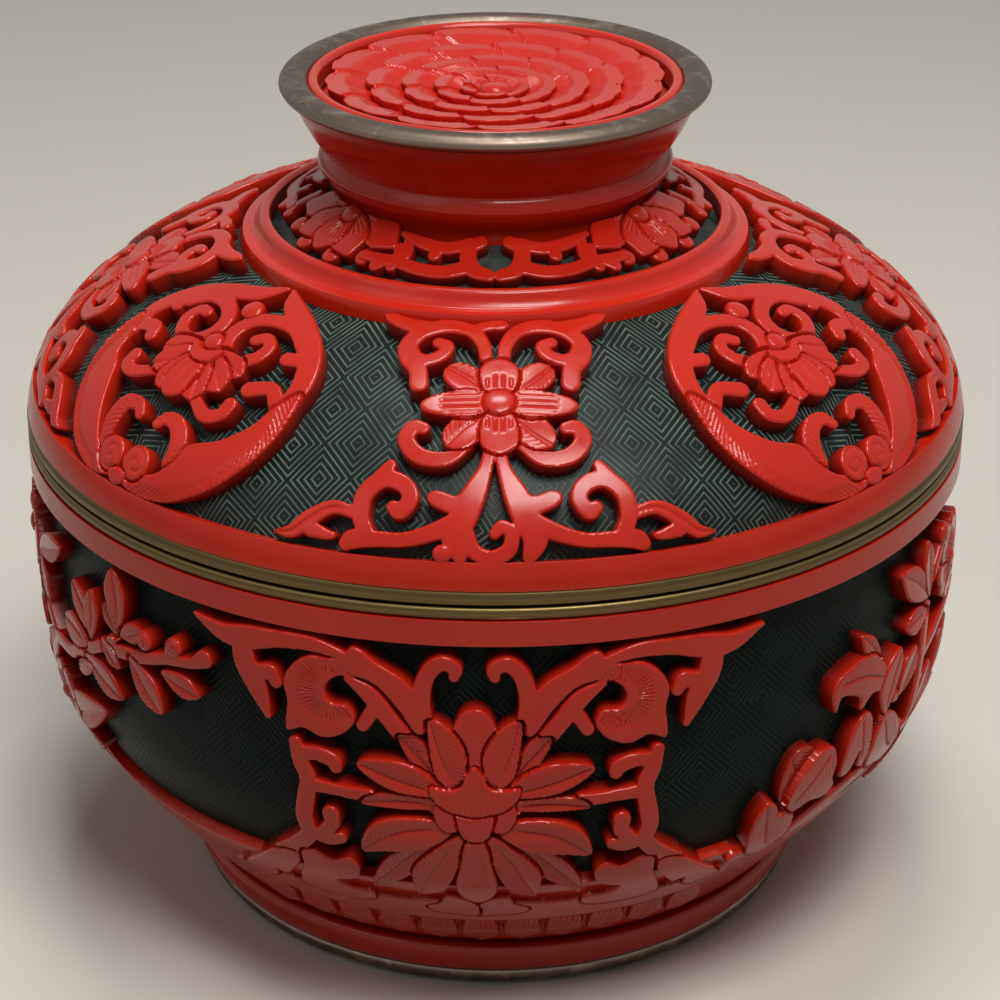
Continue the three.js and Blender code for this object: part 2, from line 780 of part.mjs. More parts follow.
// A place at a distance and angle from another, where angle 0 is the drawing's top.
function away([x, y], angle, distance) {
  const turn = THREE.MathUtils.degToRad(angle);
  return [x + distance * Math.sin(turn), y - distance * Math.cos(turn)];
}

// A leaf from its root: across, out, angle, length and width.
function leaf([x, y, angle, length, width]) {
  const middle = away([x, y], angle, length / 2);
  return outline([
    [x, y],
    away(middle, angle + 90, width / 2),
    away([x, y], angle, length),
    away(middle, angle - 90, width / 2),
  ]);
}

// An open flower: petals of [angle, length] round a centre. Each has a tip between two
// shoulders, and there is a notch between one petal and the next.
const petalTurnShare = 0.34;
const petalShoulderShare = 0.8;
const petalNotchShare = 0.5;

function flower(centre, petals) {
  return outline(petals.flatMap(([angle, length], i) => {
    const [nextAngle, nextLength] = petals[(i + 1) % petals.length];
    const gap = (nextAngle - angle + 360) % 360;
    return [
      away(centre, angle, length),
      away(centre, angle + gap * petalTurnShare, length * petalShoulderShare),
      away(centre, angle + gap / 2, (length + nextLength) / 2 * petalNotchShare),
      away(centre, nextAngle - gap * petalTurnShare, nextLength * petalShoulderShare),
    ];
  }));
}

function roundFlower([x, y, reach], count) {
  return flower([x, y], Array.from({ length: count }, (_, i) => [360 * i / count, reach]));
}

// Turns a plate on its drawing, by degrees round a place in squares.
function leaning(flat, degrees, [x, y]) {
  const geometry = fromSolid(flat);
  const centre = inSquares(x, y);
  geometry.translate(-centre.x, -centre.y, 0);
  geometry.rotateZ(THREE.MathUtils.degToRad(degrees));
  geometry.translate(centre.x, centre.y, 0);
  return toSolid(geometry);
}

// Flower panel of the lid: an open flower, scrolls above it and a spreading base below

const panelFlowerShares = [0.01, 4.57];
const panelPetalShares = [
  [0, 0.74], [40, 0.8], [90, 0.92], [140, 0.7], [180, 0.74], [220, 0.7], [270, 0.92], [320, 0.8],
];
const panelScrollShares = [
  [[0.08, 3.95, 0.14], [0.28, 3.42, 0.18], [0.84, 3.38, 0.22], [0.9, 4.16, 0.18]],
  [[0.3, 5.13, 0.12], [0.98, 5.2, 0.18], [0.84, 4.82, 0.15]],
  [[0.06, 5.2, 0.14], [0.22, 5.75, 0.24], [0.46, 6.44, 0.24]],
  [[0.36, 6.08, 0.22], [1.05, 6.22, 0.18], [1.83, 6.18, 0.16]],
  [[1.56, 6.12, 0.18], [1.52, 5.6, 0.2], [1.1, 5.56, 0.2]],
  [[1.54, 5.9, 0.14], [2.1, 5.76, 0.22], [2.82, 5.84, 0.05]],
];
const panelCurlShares = [[-0.34, 6.15, 0.2], [0, 6.5, 0.2], [0.2, 6.15, 0.17]];

function drawFlowerPanel() {
  return plate([
    flower(panelFlowerShares, panelPetalShares),
    ...bothSides((side) => panelScrollShares.map((shares) => scroll(shares, side))),
    scroll(panelCurlShares),
  ]);
}

// Peach-shaped medallion of the lid: leaf borders, two spirals and half a flower

const medallionScrollShares = [
  [[0, 3.26, 0.08], [0.65, 3.63, 0.22], [1.36, 4.1, 0.26], [1.58, 4.85, 0.34], [1.3, 5.7, 0.54],
    [0.6, 6.28, 0.42], [-0.02, 6.4, 0.24]],
  [[1.16, 3.92, 0.16], [0.5, 3.78, 0.2], [0.36, 4.38, 0.2], [0.84, 4.3, 0.17]],
  [[1.45, 5.2, 0.18], [0.44, 5, 0.14]],
  [[0.75, 6.1, 0.26], [0.56, 5.56, 0.24], [0.24, 5.62, 0.18]],
];
const medallionFlowerShares = [0, 4.5];
const medallionPetalShares = [
  [0, 0.16], [100, 0.5], [135, 0.66], [180, 0.8], [225, 0.66], [260, 0.5],
];
const medallionStalkShares = [[0, 4.6, 0.16], [0, 4, 0.16], [0, 3.75, 0.3]];
const medallionBudShares = [[-0.42, 6.3], [-0.3, 5.98], [0, 5.9], [0.3, 5.98], [0.42, 6.3]];
const medallionCentreShares = [0, 4.9];

function drawMedallion() {
  return plate([
    ...bothSides((side) => medallionScrollShares.map((shares) => scroll(shares, side))),
    flower(medallionFlowerShares, medallionPetalShares),
    scroll(medallionStalkShares),
    outline(medallionBudShares),
  ]);
}

// Lotus panel of the bowl: a lotus from the front between scrolls, winged scrolls above it,
// leaves below it and a row of small petals along the foot

const lotusCentreShares = [0, 2.15];
const lotusHalfShares = [[26, 1.3], [52, 1.36], [78, 1.52], [108, 1.6], [134, 1.5], [158, 1.75]];
const lotusPetalShares = [
  [0, 1.58],
  ...lotusHalfShares,
  [180, 1.86],
  ...lotusHalfShares.map(([angle, length]) => [360 - angle, length]).reverse(),
];
const lotusScrollShares = [
  [[0.24, 1.2, 0.2], [0.52, 0.84, 0.24], [0.44, 0.34, 0.2], [0.16, 0.32, 0.16]],
  [[1.3, 0.5, 0.14], [0.88, 1, 0.22], [0.6, 1.5, 0.2]],
  [[1.45, 0.3, 0.14], [2.1, 0.2, 0.22], [2.75, 0.32, 0.28], [3.42, 0.2, 0.05]],
  [[2.74, 0.36, 0.26], [2.42, 1.15, 0.1]],
  [[2, 1.15, 0.16], [1.98, 1.8, 0.17], [2.1, 2.7, 0.18], [2.5, 3.4, 0.16]],
  [[1.3, 2.06, 0.14], [2.04, 2.04, 0.14]],
  [[1.5, 3.2, 0.3], [1.95, 3.6, 0.6], [2.1, 4.4, 0.5]],
  [[2.4, 3.3, 0.3], [2.75, 3.75, 0.4], [3.9, 4.75, 0.1]],
];
const lotusPalmetteShares = [
  [1.33, 0.18], [1.9, 0.34], [2.25, 0.76], [2.2, 1.3], [1.74, 1.3], [1.5, 0.7], [0.8, 0.8],
  [0.56, 0.6],
];
const lotusFootShares = [[-4.1, 4.8], [-2, 4.12], [0, 3.9], [2, 4.12], [4.1, 4.8], [3.4, 5.16]];
const lappetCount = 11;
const lappetPitchShare = 0.6;
const lappetRootShare = 5.45;
const lappetTipShare = 6.1;
const lappetHeadShares = [[0.72, 0.8], [0.28, 0.8]];

// The small petals hang from the foot of the leaves as one scalloped edge.
function lotusFoot() {
  const points = [...lotusFootShares];
  for (let i = lappetCount - 1; i >= 0; i -= 1) {
    const left = (i - lappetCount / 2) * lappetPitchShare;
    for (const [across, down] of lappetHeadShares) {
      const out = THREE.MathUtils.lerp(lappetRootShare, lappetTipShare, down);
      points.push([left + across * lappetPitchShare, out]);
    }
    points.push([left, lappetRootShare]);
  }
  return outline(points);
}

function drawLotusPanel() {
  return plate([
    flower(lotusCentreShares, lotusPetalShares),
    ...bothSides((side) => lotusScrollShares.map((shares) => scroll(shares, side))),
    ...bothSides((side) => outline(lotusPalmetteShares, side)),
    lotusFoot(),
  ]);
}

// Flower spray on the flank of the bowl: a branch with blossoms and leaves

const sprayBranchShares = [
  [[-2.4, 1.3, 0.14], [0.2, 2.6, 0.36], [1.9, 4.6, 0.3]],
  [[-0.3, 2.4, 0.2], [0.4, 1, 0.16]],
  [[0.4, 2.8, 0.24], [-2.2, 4.4, 0.16]],
  [[0.4, 2.7, 0.24], [2, 2.2, 0.16]],
];
const sprayBlossomShares = [[-1.35, 1.4, 0.64], [2.05, 2.2, 0.66], [-1.3, 3.9, 0.6]];
const sprayLeafShares = [
  [0.35, 1.2, 20, 0.9, 0.44], [1, 3.4, 60, 1.3, 0.5], [1.4, 4, 110, 1.2, 0.5],
  [0.5, 2.8, 190, 1.2, 0.5],
];
const blossomPetals = 5;

function drawSpray(side) {
  return plate([
    ...sprayBranchShares.map((shares) => scroll(shares, side)),
    ...sprayBlossomShares.map(([x, y, reach]) => roundFlower([side * x, y, reach], blossomPetals)),
    ...sprayLeafShares.map(([x, y, angle, ...size]) => leaf([side * x, y, side * angle, ...size])),
  ]);
}

// Collar carving: pairs of scrolls that meet, and a flower head between two pairs

const collarScrollShares = [
  [[-0.02, 2.62, 0.18], [0.6, 2.6, 0.16], [1.5, 2.18, 0.13]],
  [[0.28, 2.6, 0.2], [0.3, 2.18, 0.22]],
  [[0.28, 2.2, 0.16], [1.08, 1.98, 0.08]],
];
const collarHeadShares = [0, 2.16];
const collarPetalShares = [
  [0, 0.1], [105, 0.62], [142, 0.62], [180, 0.58], [218, 0.62], [255, 0.62],
];

function drawCollarScrolls() {
  return plate(bothSides((side) => collarScrollShares.map((shares) => scroll(shares, side))));
}

function drawCollarFlower() {
  return plate([flower(collarHeadShares, collarPetalShares)]);
}

// Carved pieces in their places

function carveLid() {
  flowerPanelBearings.forEach((bearing, i) => {
    carve(`lid_flower_panel_${flowerPanelNames[i]}`, drawFlowerPanel(), lidChart, bearing);
  });
  const corners = [
    ['front_right', medallionBearing, -medallionLean],
    ['back_right', 180 - medallionBearing, medallionLean],
    ['back_left', 180 + medallionBearing, -medallionLean],
    ['front_left', -medallionBearing, medallionLean],
  ];
  for (const [name, bearing, lean] of corners) {
    const medallion = leaning(drawMedallion(), lean, medallionCentreShares);
    carve(`lid_medallion_${name}`, medallion, lidChart, bearing);
  }
}

function carveCollar() {
  collarScrollBearings.forEach((bearing, i) => {
    carve(`collar_scrolls_${i + 1}`, drawCollarScrolls(), collarChart, bearing);
  });
  collarFlowerBearings.forEach((bearing, i) => {
    carve(`collar_flower_${i + 1}`, drawCollarFlower(), collarChart, bearing);
  });
}

function carveBowl() {
  carve('bowl_lotus_panel_front', drawLotusPanel(), bowlChart, lotusBearing);
  carve('bowl_lotus_panel_back', drawLotusPanel(), bowlChart, 180 + lotusBearing);
  carve('bowl_spray_right', drawSpray(1), bowlChart, sprayBearing);
  carve('bowl_spray_left', drawSpray(-1), bowlChart, -sprayBearing);
}

makeBowlWalls();
makeBowlMouth();
makeFoot();
makeLidWalls();
makeCollar();
makeKnob();
makeKnobTop();
carveLid();
carveCollar();
carveBowl();

export default box;
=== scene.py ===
"""Covered incense box in carved red lacquer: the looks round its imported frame.

Lengths in this file are millimetres, and become metres on the meshes. Bearings are degrees
round the axis: 0 is the front (-Y) and 90 is the right (+X).
"""

import math

import bpy
import numpy as np
from bpy.props import FloatProperty, FloatVectorProperty, IntProperty, PointerProperty
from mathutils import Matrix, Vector


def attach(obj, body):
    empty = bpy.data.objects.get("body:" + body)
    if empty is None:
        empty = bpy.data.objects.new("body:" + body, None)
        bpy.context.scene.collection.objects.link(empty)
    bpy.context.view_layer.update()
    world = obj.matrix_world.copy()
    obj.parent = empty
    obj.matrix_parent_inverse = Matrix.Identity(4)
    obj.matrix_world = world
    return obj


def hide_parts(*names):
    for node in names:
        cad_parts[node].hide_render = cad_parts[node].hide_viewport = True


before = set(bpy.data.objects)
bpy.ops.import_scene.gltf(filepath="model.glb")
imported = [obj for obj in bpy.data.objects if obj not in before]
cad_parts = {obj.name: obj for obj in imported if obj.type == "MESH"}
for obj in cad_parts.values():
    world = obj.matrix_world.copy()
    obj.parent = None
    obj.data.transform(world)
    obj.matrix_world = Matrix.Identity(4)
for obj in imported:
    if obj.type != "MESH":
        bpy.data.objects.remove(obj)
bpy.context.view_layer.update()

bl_info = {
    "name": "Carved lacquer incense box",
    "version": (1, 0, 0),
    "blender": (4, 5, 0),
    "location": "View3D > Sidebar > Incense Box",
    "description": "Builds the looks of a covered incense box in carved red lacquer",
    "category": "Add Mesh",
}

MM = 0.001
TURN = 2 * math.pi


def hex_colour(code):
    """Linear RGB of an sRGB hex value."""
    values = [int(code[i:i + 2], 16) / 255 for i in (1, 3, 5)]
    return [v / 12.92 if v <= 0.04045 else ((v + 0.055) / 1.055) ** 2.4 for v in values]


def colour_property(name, description, code):
    return FloatVectorProperty(
        name=name, description=description, subtype="COLOR", size=3, min=0, max=1,
        default=hex_colour(code),
    )


def length_property(name, description, millimetres):
    return FloatProperty(
        name=name, description=description, subtype="DISTANCE", unit="LENGTH",
        default=millimetres * MM,
    )


def power_property(name, description, watts):
    return FloatProperty(
        name=name, description=description, subtype="POWER", unit="POWER", default=watts,
    )


class LacquerSettings(bpy.types.PropertyGroup):
    """Colours of the lacquers."""

    red: colour_property("Red", "Red of the carved lacquer", "#D02A12")
    deep_red: colour_property("Deep red", "Red where the coats are thicker", "#B41D0C")
    # painted shade: this colour darkens the cuts of the red where shade falls, with some old polish and
    # dirt
    cut_shade_and_grime: colour_property("Shade and grime", "Dark old polish and dirt in the cuts of the red", "#4A0B08")
    green: colour_property("Green", "Green of the ground under the carving", "#0A1714")
    dust: colour_property("Dust", "Pale dust that lies in the grooves", "#66776C")
    black: colour_property("Black", "Black of the lacquer inside", "#131010")
    thin_black: colour_property("Thin black", "Black where the lacquer is thin", "#271F1D")


class MetalSettings(bpy.types.PropertyGroup):
    """Colours of the metals."""

    brass: colour_property("Brass", "Clean brass on the edge of the rims", "#A08A4E")
    brown: colour_property("Tarnish", "Brown tarnish on the rims", "#4A3C30")
    bronze: colour_property("Bronze", "Worn metal of the bead round the knob", "#A39385")
    copper: colour_property("Copper", "Copper of the body inside", "#9A5B3C")


class CarvingSettings(bpy.types.PropertyGroup):
    """Sizes of the carving."""

    depth: length_property("Depth", "From the carved surface down to the ground", 2.3)
    step: length_property("Mesh step", "Distance between mesh points on the carving", 0.17)
    edge: length_property("Edge rounding", "Radius of the carving's upper edges", 0.22)
    gap: length_property("Cut width", "Width of the cut round a shape that lies on another", 0.3)
    sides: IntProperty(
        name="Turned sides", description="Facets round a turned piece", default=256, min=48,
    )


class StageSettings(bpy.types.PropertyGroup):
    """The floor, the lamps and the camera."""

    floor: colour_property("Floor", "Colour of the floor", "#DED7CC")
    bounce: colour_property("Bounce", "Colour of the light that the floor throws up", "#8C7A66")
    key: power_property("Key light", "Watts of the key lamp", 4.2)
    glow: power_property("Top light", "Watts of the small lamp overhead", 1.6)
    fill: power_property("Fill light", "Watts of the fill lamp", 0.3)
    sky: FloatProperty(name="Sky", description="Strength of the even light", default=0.1)
    backdrop: FloatProperty(name="Backdrop", description="Brightness of the backdrop",
                            default=0.5)
    lens: FloatProperty(name="Focal length", description="Focal length of the camera",
                        default=102.5, unit="CAMERA")


class IncenseBoxSettings(bpy.types.PropertyGroup):
    """All that a user would change."""

    lacquer: PointerProperty(type=LacquerSettings)
    metal: PointerProperty(type=MetalSettings)
    carving: PointerProperty(type=CarvingSettings)
    stage: PointerProperty(type=StageSettings)


def settings():
    return bpy.context.scene.incense_box


# Curves and walls


def smooth_line(points, per_span=8):
    """Smooth line through points of any number of columns."""
    p = np.asarray(points, float)
    if len(p) < 3:
        t = np.linspace(0, 1, per_span + 1)[:, None]
        return p[0] * (1 - t) + p[-1] * t
    ends = np.vstack([2 * p[0] - p[1], p, 2 * p[-1] - p[-2]])
    t = np.linspace(0, 1, per_span, endpoint=False)[:, None]
    spans = []
    for i in range(len(p) - 1):
        a, b, c, d = ends[i:i + 4]
        spans.append(0.5 * (2 * b + (c - a) * t + (2 * a - 5 * b + 4 * c - d) * t ** 2
                            + (3 * b - a - 3 * c + d) * t ** 3))
    return np.vstack([*spans, p[-1:]])


class Wall:
    """A surface of revolution, walked along its profile. travel is the sum of step over radius."""

    def __init__(self, profile):
        self.r, self.z = np.asarray(profile, float).T
        dr, dz = np.gradient(self.r), np.gradient(self.z)
        length = np.hypot(dr, dz)
        self.nr, self.nz = -dz / length, dr / length
        steps = np.hypot(np.diff(self.r), np.diff(self.z)) / ((self.r[1:] + self.r[:-1]) / 2)
        self.travel = np.concatenate([[0], np.cumsum(steps)])

    def at(self, travel, height=0.0):
        """Radius and height of points at a travel, and a height over the surface."""
        r, z, nr, nz = (np.interp(travel, self.travel, v)
                        for v in (self.r, self.z, self.nr, self.nz))
        return r + height * nr, z + height * nz

    def travel_of_radius(self, radius):
        order = np.argsort(self.r)
        return float(np.interp(radius, self.r[order], self.travel[order]))

    def travel_of_height(self, height):
        order = np.argsort(self.z)
        return float(np.interp(height, self.z[order], self.travel[order]))

    def layer(self, start, end, depth, count=40):
        """Profile points between two travels, a depth under the surface."""
        return np.stack(self.at(np.linspace(start, end, count), -depth), 1)


SEAM_RADIUS = 60.0
SEAM_HEIGHT = 64.75
DOME_RISE = 28.3
LID_EDGE_HEIGHT = 66.7
LID_FOOT_HEIGHT = 64.9
BOWL_MOUTH_HEIGHT = 64.6
BOWL_EDGE_HEIGHT = 63.1
BAND_BOTTOM = 59.9
BASE_BAND_TOP = 24.3
LID_BAND_RADIUS = 59.0
LID_GROUND_RADIUS = 31.6
LID_TRUE_RADIUS = 45.0
GROUND_THICKNESS = 1.2
COLLAR_INNER, COLLAR_INNER_HEIGHT = 21.3, 94.0
COLLAR_OUTER, COLLAR_OUTER_HEIGHT = 28.1, 90.2
COLLAR_RUN = COLLAR_OUTER - COLLAR_INNER
COLLAR_DROP = COLLAR_INNER_HEIGHT - COLLAR_OUTER_HEIGHT
COLLAR_SLOPE = math.hypot(COLLAR_RUN, COLLAR_DROP)
COLLAR_DEPTH = 1.7
BAND_DEPTH = 2.25
SQUARE = 6.0
SQUARES_ROUND_BOWL = 44
LOTUS_BEARING, SPRAY_BEARING = -2.2, 66
COLLAR_FLOWER_BEARINGS = (54, 180, 306)

turns = np.linspace(0.02, 1, 800) * math.pi / 2
LID = Wall(np.stack([SEAM_RADIUS * np.sin(turns), SEAM_HEIGHT + DOME_RISE * np.cos(turns)], 1))
BOWL = Wall(smooth_line([
    (60.0, 63.0), (60.12, 54.0), (60.06, 44.0), (59.28, 34.32), (57.3, 28.17), (55.08, 23.63),
    (50.1, 16.96), (45.9, 11.91), (42.5, 8.0),
], 60))


def lid_place(x, y, bearing, height):
    """Folds the lid's drawing, across and out from the axis, round the dome."""
    turn = np.arctan2(x, y) + math.radians(bearing)
    travel = LID.travel_of_radius(LID_TRUE_RADIUS) + np.log(np.hypot(x, y) / LID_TRUE_RADIUS)
    r, z = LID.at(travel, height)
    return np.stack([r * np.sin(turn), -r * np.cos(turn), z], -1)


def bowl_place(x, y, bearing, height):
    """Folds the bowl's drawing, across and down from the rim band, round the bowl."""
    turn = x / SEAM_RADIUS + math.radians(bearing)
    r, z = BOWL.at(BOWL.travel_of_height(BAND_BOTTOM) + y / SEAM_RADIUS, height)
    return np.stack([r * np.sin(turn), -r * np.cos(turn), z], -1)


def collar_place(x, y, bearing, height):
    """Folds the collar's drawing, across and out from the axis, round the sloping field."""
    turn = np.arctan2(x, y) + math.radians(bearing)
    reach = np.hypot(x, y)
    r = reach + height * COLLAR_DROP / COLLAR_SLOPE
    z = (COLLAR_INNER_HEIGHT - (reach - COLLAR_INNER) * COLLAR_DROP / COLLAR_RUN
         + height * COLLAR_RUN / COLLAR_SLOPE)
    return np.stack([r * np.sin(turn), -r * np.cos(turn), z], -1)


# Meshes


def build_piece(name, points, faces, body, kind, node, depth=None, angle=50):
    """Makes a piece from points in millimetres and faces of three or four corners. depth is
    how far down each point lies in the carving, from 0 to 1."""
    points = np.asarray(points, float)
    mesh = bpy.data.meshes.new(name)
    quads = [np.asarray(f, np.int32) for f in faces if len(f)]
    loops = np.concatenate([f.ravel() for f in quads])
    sizes = np.concatenate([np.full(len(f), f.shape[1]) for f in quads])
    mesh.vertices.add(len(points))
    mesh.vertices.foreach_set("co", (points * MM).astype(np.float32).ravel())
    mesh.loops.add(len(loops))
    mesh.loops.foreach_set("vertex_index", loops)
    mesh.polygons.add(len(sizes))
    mesh.polygons.foreach_set("loop_start", np.concatenate([[0], np.cumsum(sizes)[:-1]]))
    mesh.polygons.foreach_set("loop_total", sizes)
    mesh.polygons.foreach_set("use_smooth", np.ones(len(sizes), bool))
    if depth is not None:
        # the depth share goes to the red lacquer, which paints shade into the cuts with it
        layer = mesh.uv_layers.new(name="carving")
        shares = np.stack([depth[loops], np.zeros(len(loops))], 1)
        layer.data.foreach_set("uv", shares.astype(np.float32).ravel())
    mesh.update(calc_edges=True)
    if mesh.validate():
        raise RuntimeError(name + " has a faulty face")
    mesh.set_sharp_from_angle(angle=math.radians(angle))
    mesh.materials.append(finish(kind))
    piece = bpy.data.objects.new(name, mesh)
    bpy.context.scene.collection.objects.link(piece)
    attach(piece, body)
    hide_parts(node)
    return piece


def outward(points, faces):
    """Turns all faces outwards if they face inwards."""
    p = np.asarray(points, float)
    volume = 0.0
    for group in faces:
        for k in range(1, group.shape[1] - 1):
            a, b, c = p[group[:, 0]], p[group[:, k]], p[group[:, k + 1]]
            volume += np.einsum("ij,ij->", a, np.cross(b, c))
    return [group[:, ::-1] for group in faces] if volume < 0 else faces


CORNER_POINTS = 5


def soften(profile, radius):
    """Rounds the corners of a closed profile. Each becomes as many points as CORNER_POINTS."""
    points = []
    count = len(profile)
    for i, (x, y) in enumerate(profile):
        here = np.array([x, y])
        before, after = np.array(profile[i - 1]), np.array(profile[(i + 1) % count])
        back, on = before - here, after - here
        reach = min(radius, np.linalg.norm(back) * 0.45, np.linalg.norm(on) * 0.45)
        start = here + back / np.linalg.norm(back) * reach
        end = here + on / np.linalg.norm(on) * reach
        for t in np.linspace(0, 1, CORNER_POINTS):
            points.append(start * (1 - t) ** 2 + 2 * here * t * (1 - t) + end * t ** 2)
    return np.array(points)


def turned_piece(name, profile, body, kind, node):
    """Turns a profile of (radius, height) round the axis. It is closed, or starts and ends on
    the axis."""
    profile = np.asarray(profile, float)
    on_axis = profile[0, 0] == 0
    rim = profile[1:-1] if on_axis else profile
    sides = settings().carving.sides
    tips = (profile[0, 1], profile[-1, 1]) if on_axis else None
    return turned_rows(name, np.repeat(rim[:, :1], sides, 1), np.repeat(rim[:, 1:], sides, 1),
                       tips, body, kind, node)


def turned_rows(name, r, z, tips, body, kind, node, angle=40):
    """A piece from rows of radius and height round the axis. tips are the heights of the two
    points on the axis, or None if the last row joins the first."""
    rows, sides = r.shape
    turn = np.arange(sides) * TURN / sides
    points = np.stack([r * np.sin(turn), -r * np.cos(turn), z], -1).reshape(-1, 3)
    i, j = np.meshgrid(np.arange(rows - 1 if tips else rows), np.arange(sides), indexing="ij")
    i, j = i.ravel(), j.ravel()
    k, m = (i + 1) % rows, (j + 1) % sides
    faces = [np.stack([i * sides + j, i * sides + m, k * sides + m, k * sides + j], 1)]
    if tips:
        low = len(points)
        points = np.vstack([points, [0, 0, tips[0]], [0, 0, tips[1]]])
        ring = np.arange(sides)
        after = (ring + 1) % sides
        base = (rows - 1) * sides
        faces.append(np.stack([np.full(sides, low), after, ring], 1))
        faces.append(np.stack([np.full(sides, low + 1), base + ring, base + after], 1))
    return build_piece(name, points, outward(points, faces), body, kind, node, angle=angle)


# Drawings of the carving


class Drawing:
    """A carving drawn flat. Each point of a fine grid has the height of the carving's top and
    its distance to the outline, which is negative inside."""

    def __init__(self, left, right, near, far, step=None):
        carving = settings().carving
        self.step = step or carving.step / MM
        self.bevel = carving.edge / MM
        self.gap = carving.gap / MM
        self.xs = np.arange(left, right + self.step, self.step)
        self.ys = np.arange(near, far + self.step, self.step)
        self.x, self.y = np.meshgrid(self.xs, self.ys)
        self.edge = np.full(self.x.shape, 99.0)
        self.top = np.full(self.x.shape, -99.0)

    def window(self, low, high):
        """The part of the grid that a shape between two corners can touch."""
        reach = self.gap + 3 * self.step
        i = np.searchsorted(self.ys, [low[1] - reach, high[1] + reach])
        j = np.searchsorted(self.xs, [low[0] - reach, high[0] + reach])
        return slice(*i), slice(*j)

    def drop(self, distance):
        """How far a rounded edge has fallen at a distance from the outline."""
        share = np.clip(-distance / self.bevel, 0, 1)
        return self.bevel * (1 - np.sqrt(1 - (1 - share) ** 2))

    def lay(self, window, distance, height, over, cut):
        """Joins a shape to the drawing, or lays it over what is there with a cut round it."""
        top, edge = self.top[window], self.edge[window]
        height = height - self.drop(distance)
        inside = distance < 0
        if over:
            ring = ~inside & (distance < self.gap)
            wall = height - cut * np.clip(1 - distance / self.gap, 0, 1) ** 0.7
            top[ring] = np.minimum(top[ring], wall[ring])
            top[inside] = height[inside]
        else:
            top[inside] = np.maximum(top[inside], height[inside])
        margin = ~inside & (distance < 2.5 * self.step) & (edge >= 0)
        top[margin] = np.maximum(top[margin], height[margin])
        self.top[window] = top
        self.edge[window] = np.minimum(edge, distance)

    def stroke(self, line, level=0.0, crown=0.0, marks=None, over=False, cut=0.6):
        """Draws a shape along a line of (x, y, width) places. marks is the depth of its grooves
        from the share along it and across it, and the millimetres along it and across it."""
        line = smooth_line(line)
        line[:, 2] = np.maximum(line[:, 2], 0.05)
        half = line[:, 2].max() / 2
        window = self.window(line[:, :2].min(0) - half, line[:, :2].max(0) + half)
        x, y = self.x[window], self.y[window]
        spans = np.hypot(*(line[1:, :2] - line[:-1, :2]).T)
        starts = np.concatenate([[0], np.cumsum(spans)])
        best, along, across, width = (np.full(x.shape, v) for v in (99.0, 0.0, 0.0, 1.0))
        for a, b, start, span in zip(line[:-1], line[1:], starts, spans):
            if span < 1e-6:
                continue
            dx, dy = (b[:2] - a[:2]) / span
            t = np.clip(((x - a[0]) * dx + (y - a[1]) * dy) / span, 0, 1)
            ox, oy = x - a[0] - t * span * dx, y - a[1] - t * span * dy
            half = (a[2] + t * (b[2] - a[2])) / 2
            distance = np.hypot(ox, oy) - half
            near = distance < best
            best[near] = distance[near]
            along[near] = (start + t * span)[near]
            across[near] = (dx * oy - dy * ox)[near]
            width[near] = half[near]
        share = np.clip(across / width, -1, 1)
        height = level + crown * (1 - share ** 2)
        if marks is not None:
            height = height - marks(along / starts[-1], share, along, across)
        self.lay(window, best, height, over, cut)

    def disc(self, x, y, radius, level=0.0, crown=0.0, marks=None, over=False, cut=0.6):
        """Draws a round shape. marks is the depth of its grooves at each place from its centre."""
        window = self.window((x - radius, y - radius), (x + radius, y + radius))
        ox, oy = self.x[window] - x, self.y[window] - y
        reach = np.hypot(ox, oy)
        height = level + crown * (1 - np.clip(reach / radius, 0, 1) ** 2)
        if marks is not None:
            height = height - marks(ox, oy)
        self.lay(window, reach - radius, height, over, cut)

    def area(self, outline, level=0.0, marks=None, over=False, cut=0.6):
        """Draws the inside of an outline. marks is the depth of its grooves at each place."""
        # the outline is smoothed with two more points at each end, so that it closes smoothly
        per_span = 6
        wide = smooth_line([*outline[-2:], *outline, *outline[:2]], per_span)
        loop = wide[2 * per_span:(2 + len(outline)) * per_span]
        window = self.window(loop.min(0), loop.max(0))
        x, y = self.x[window], self.y[window]
        best, inside = np.full(x.shape, 99.0), np.zeros(x.shape, bool)
        for a, b in zip(loop, np.roll(loop, -1, 0)):
            d = b - a
            t = np.clip(((x - a[0]) * d[0] + (y - a[1]) * d[1]) / max(d @ d, 1e-9), 0, 1)
            best = np.minimum(best, np.hypot(x - a[0] - t * d[0], y - a[1] - t * d[1]))
            if d[1]:
                passes = (a[1] > y) != (b[1] > y)
                inside ^= passes & (x < a[0] + (y - a[1]) * d[0] / d[1])
        height = np.full(x.shape, float(level))
        if marks is not None:
            height = height - marks(x, y)
        self.lay(window, np.where(inside, -best, best), height, over, cut)


def mirrored(points, side):
    """Points as they are if side is 1, or their mirror image if it is -1."""
    return [(side * x, *rest) for x, *rest in points]


def whole(half):
    """A closed outline from its right half, which may start or end on the middle line."""
    return half + mirrored([p for p in reversed(half) if p[0]], -1)


def both_sides(points):
    """Points and their mirror image."""
    return [mirrored(points, side) for side in (1, -1)]


def cells_inside(drawing):
    """Cells inside the outline, without cells that meet another at one corner only."""
    e = drawing.edge
    cells = (e[:-1, :-1] + e[1:, :-1] + e[:-1, 1:] + e[1:, 1:]) < 0
    cells[[0, -1], :] = False
    cells[:, [0, -1]] = False
    for _ in range(6):
        a, b, c, d = cells[:-1, :-1], cells[:-1, 1:], cells[1:, :-1], cells[1:, 1:]
        cross = (a & d & ~b & ~c) | (b & c & ~a & ~d)
        if not cross.any():
            break
        cells[:-1, :-1] |= cross
        cells[:-1, 1:] |= cross
    return cells


def numbered(mask):
    """Numbers the places where a mask is true."""
    numbers = np.full(mask.shape, -1)
    numbers[mask] = np.arange(mask.sum())
    return numbers


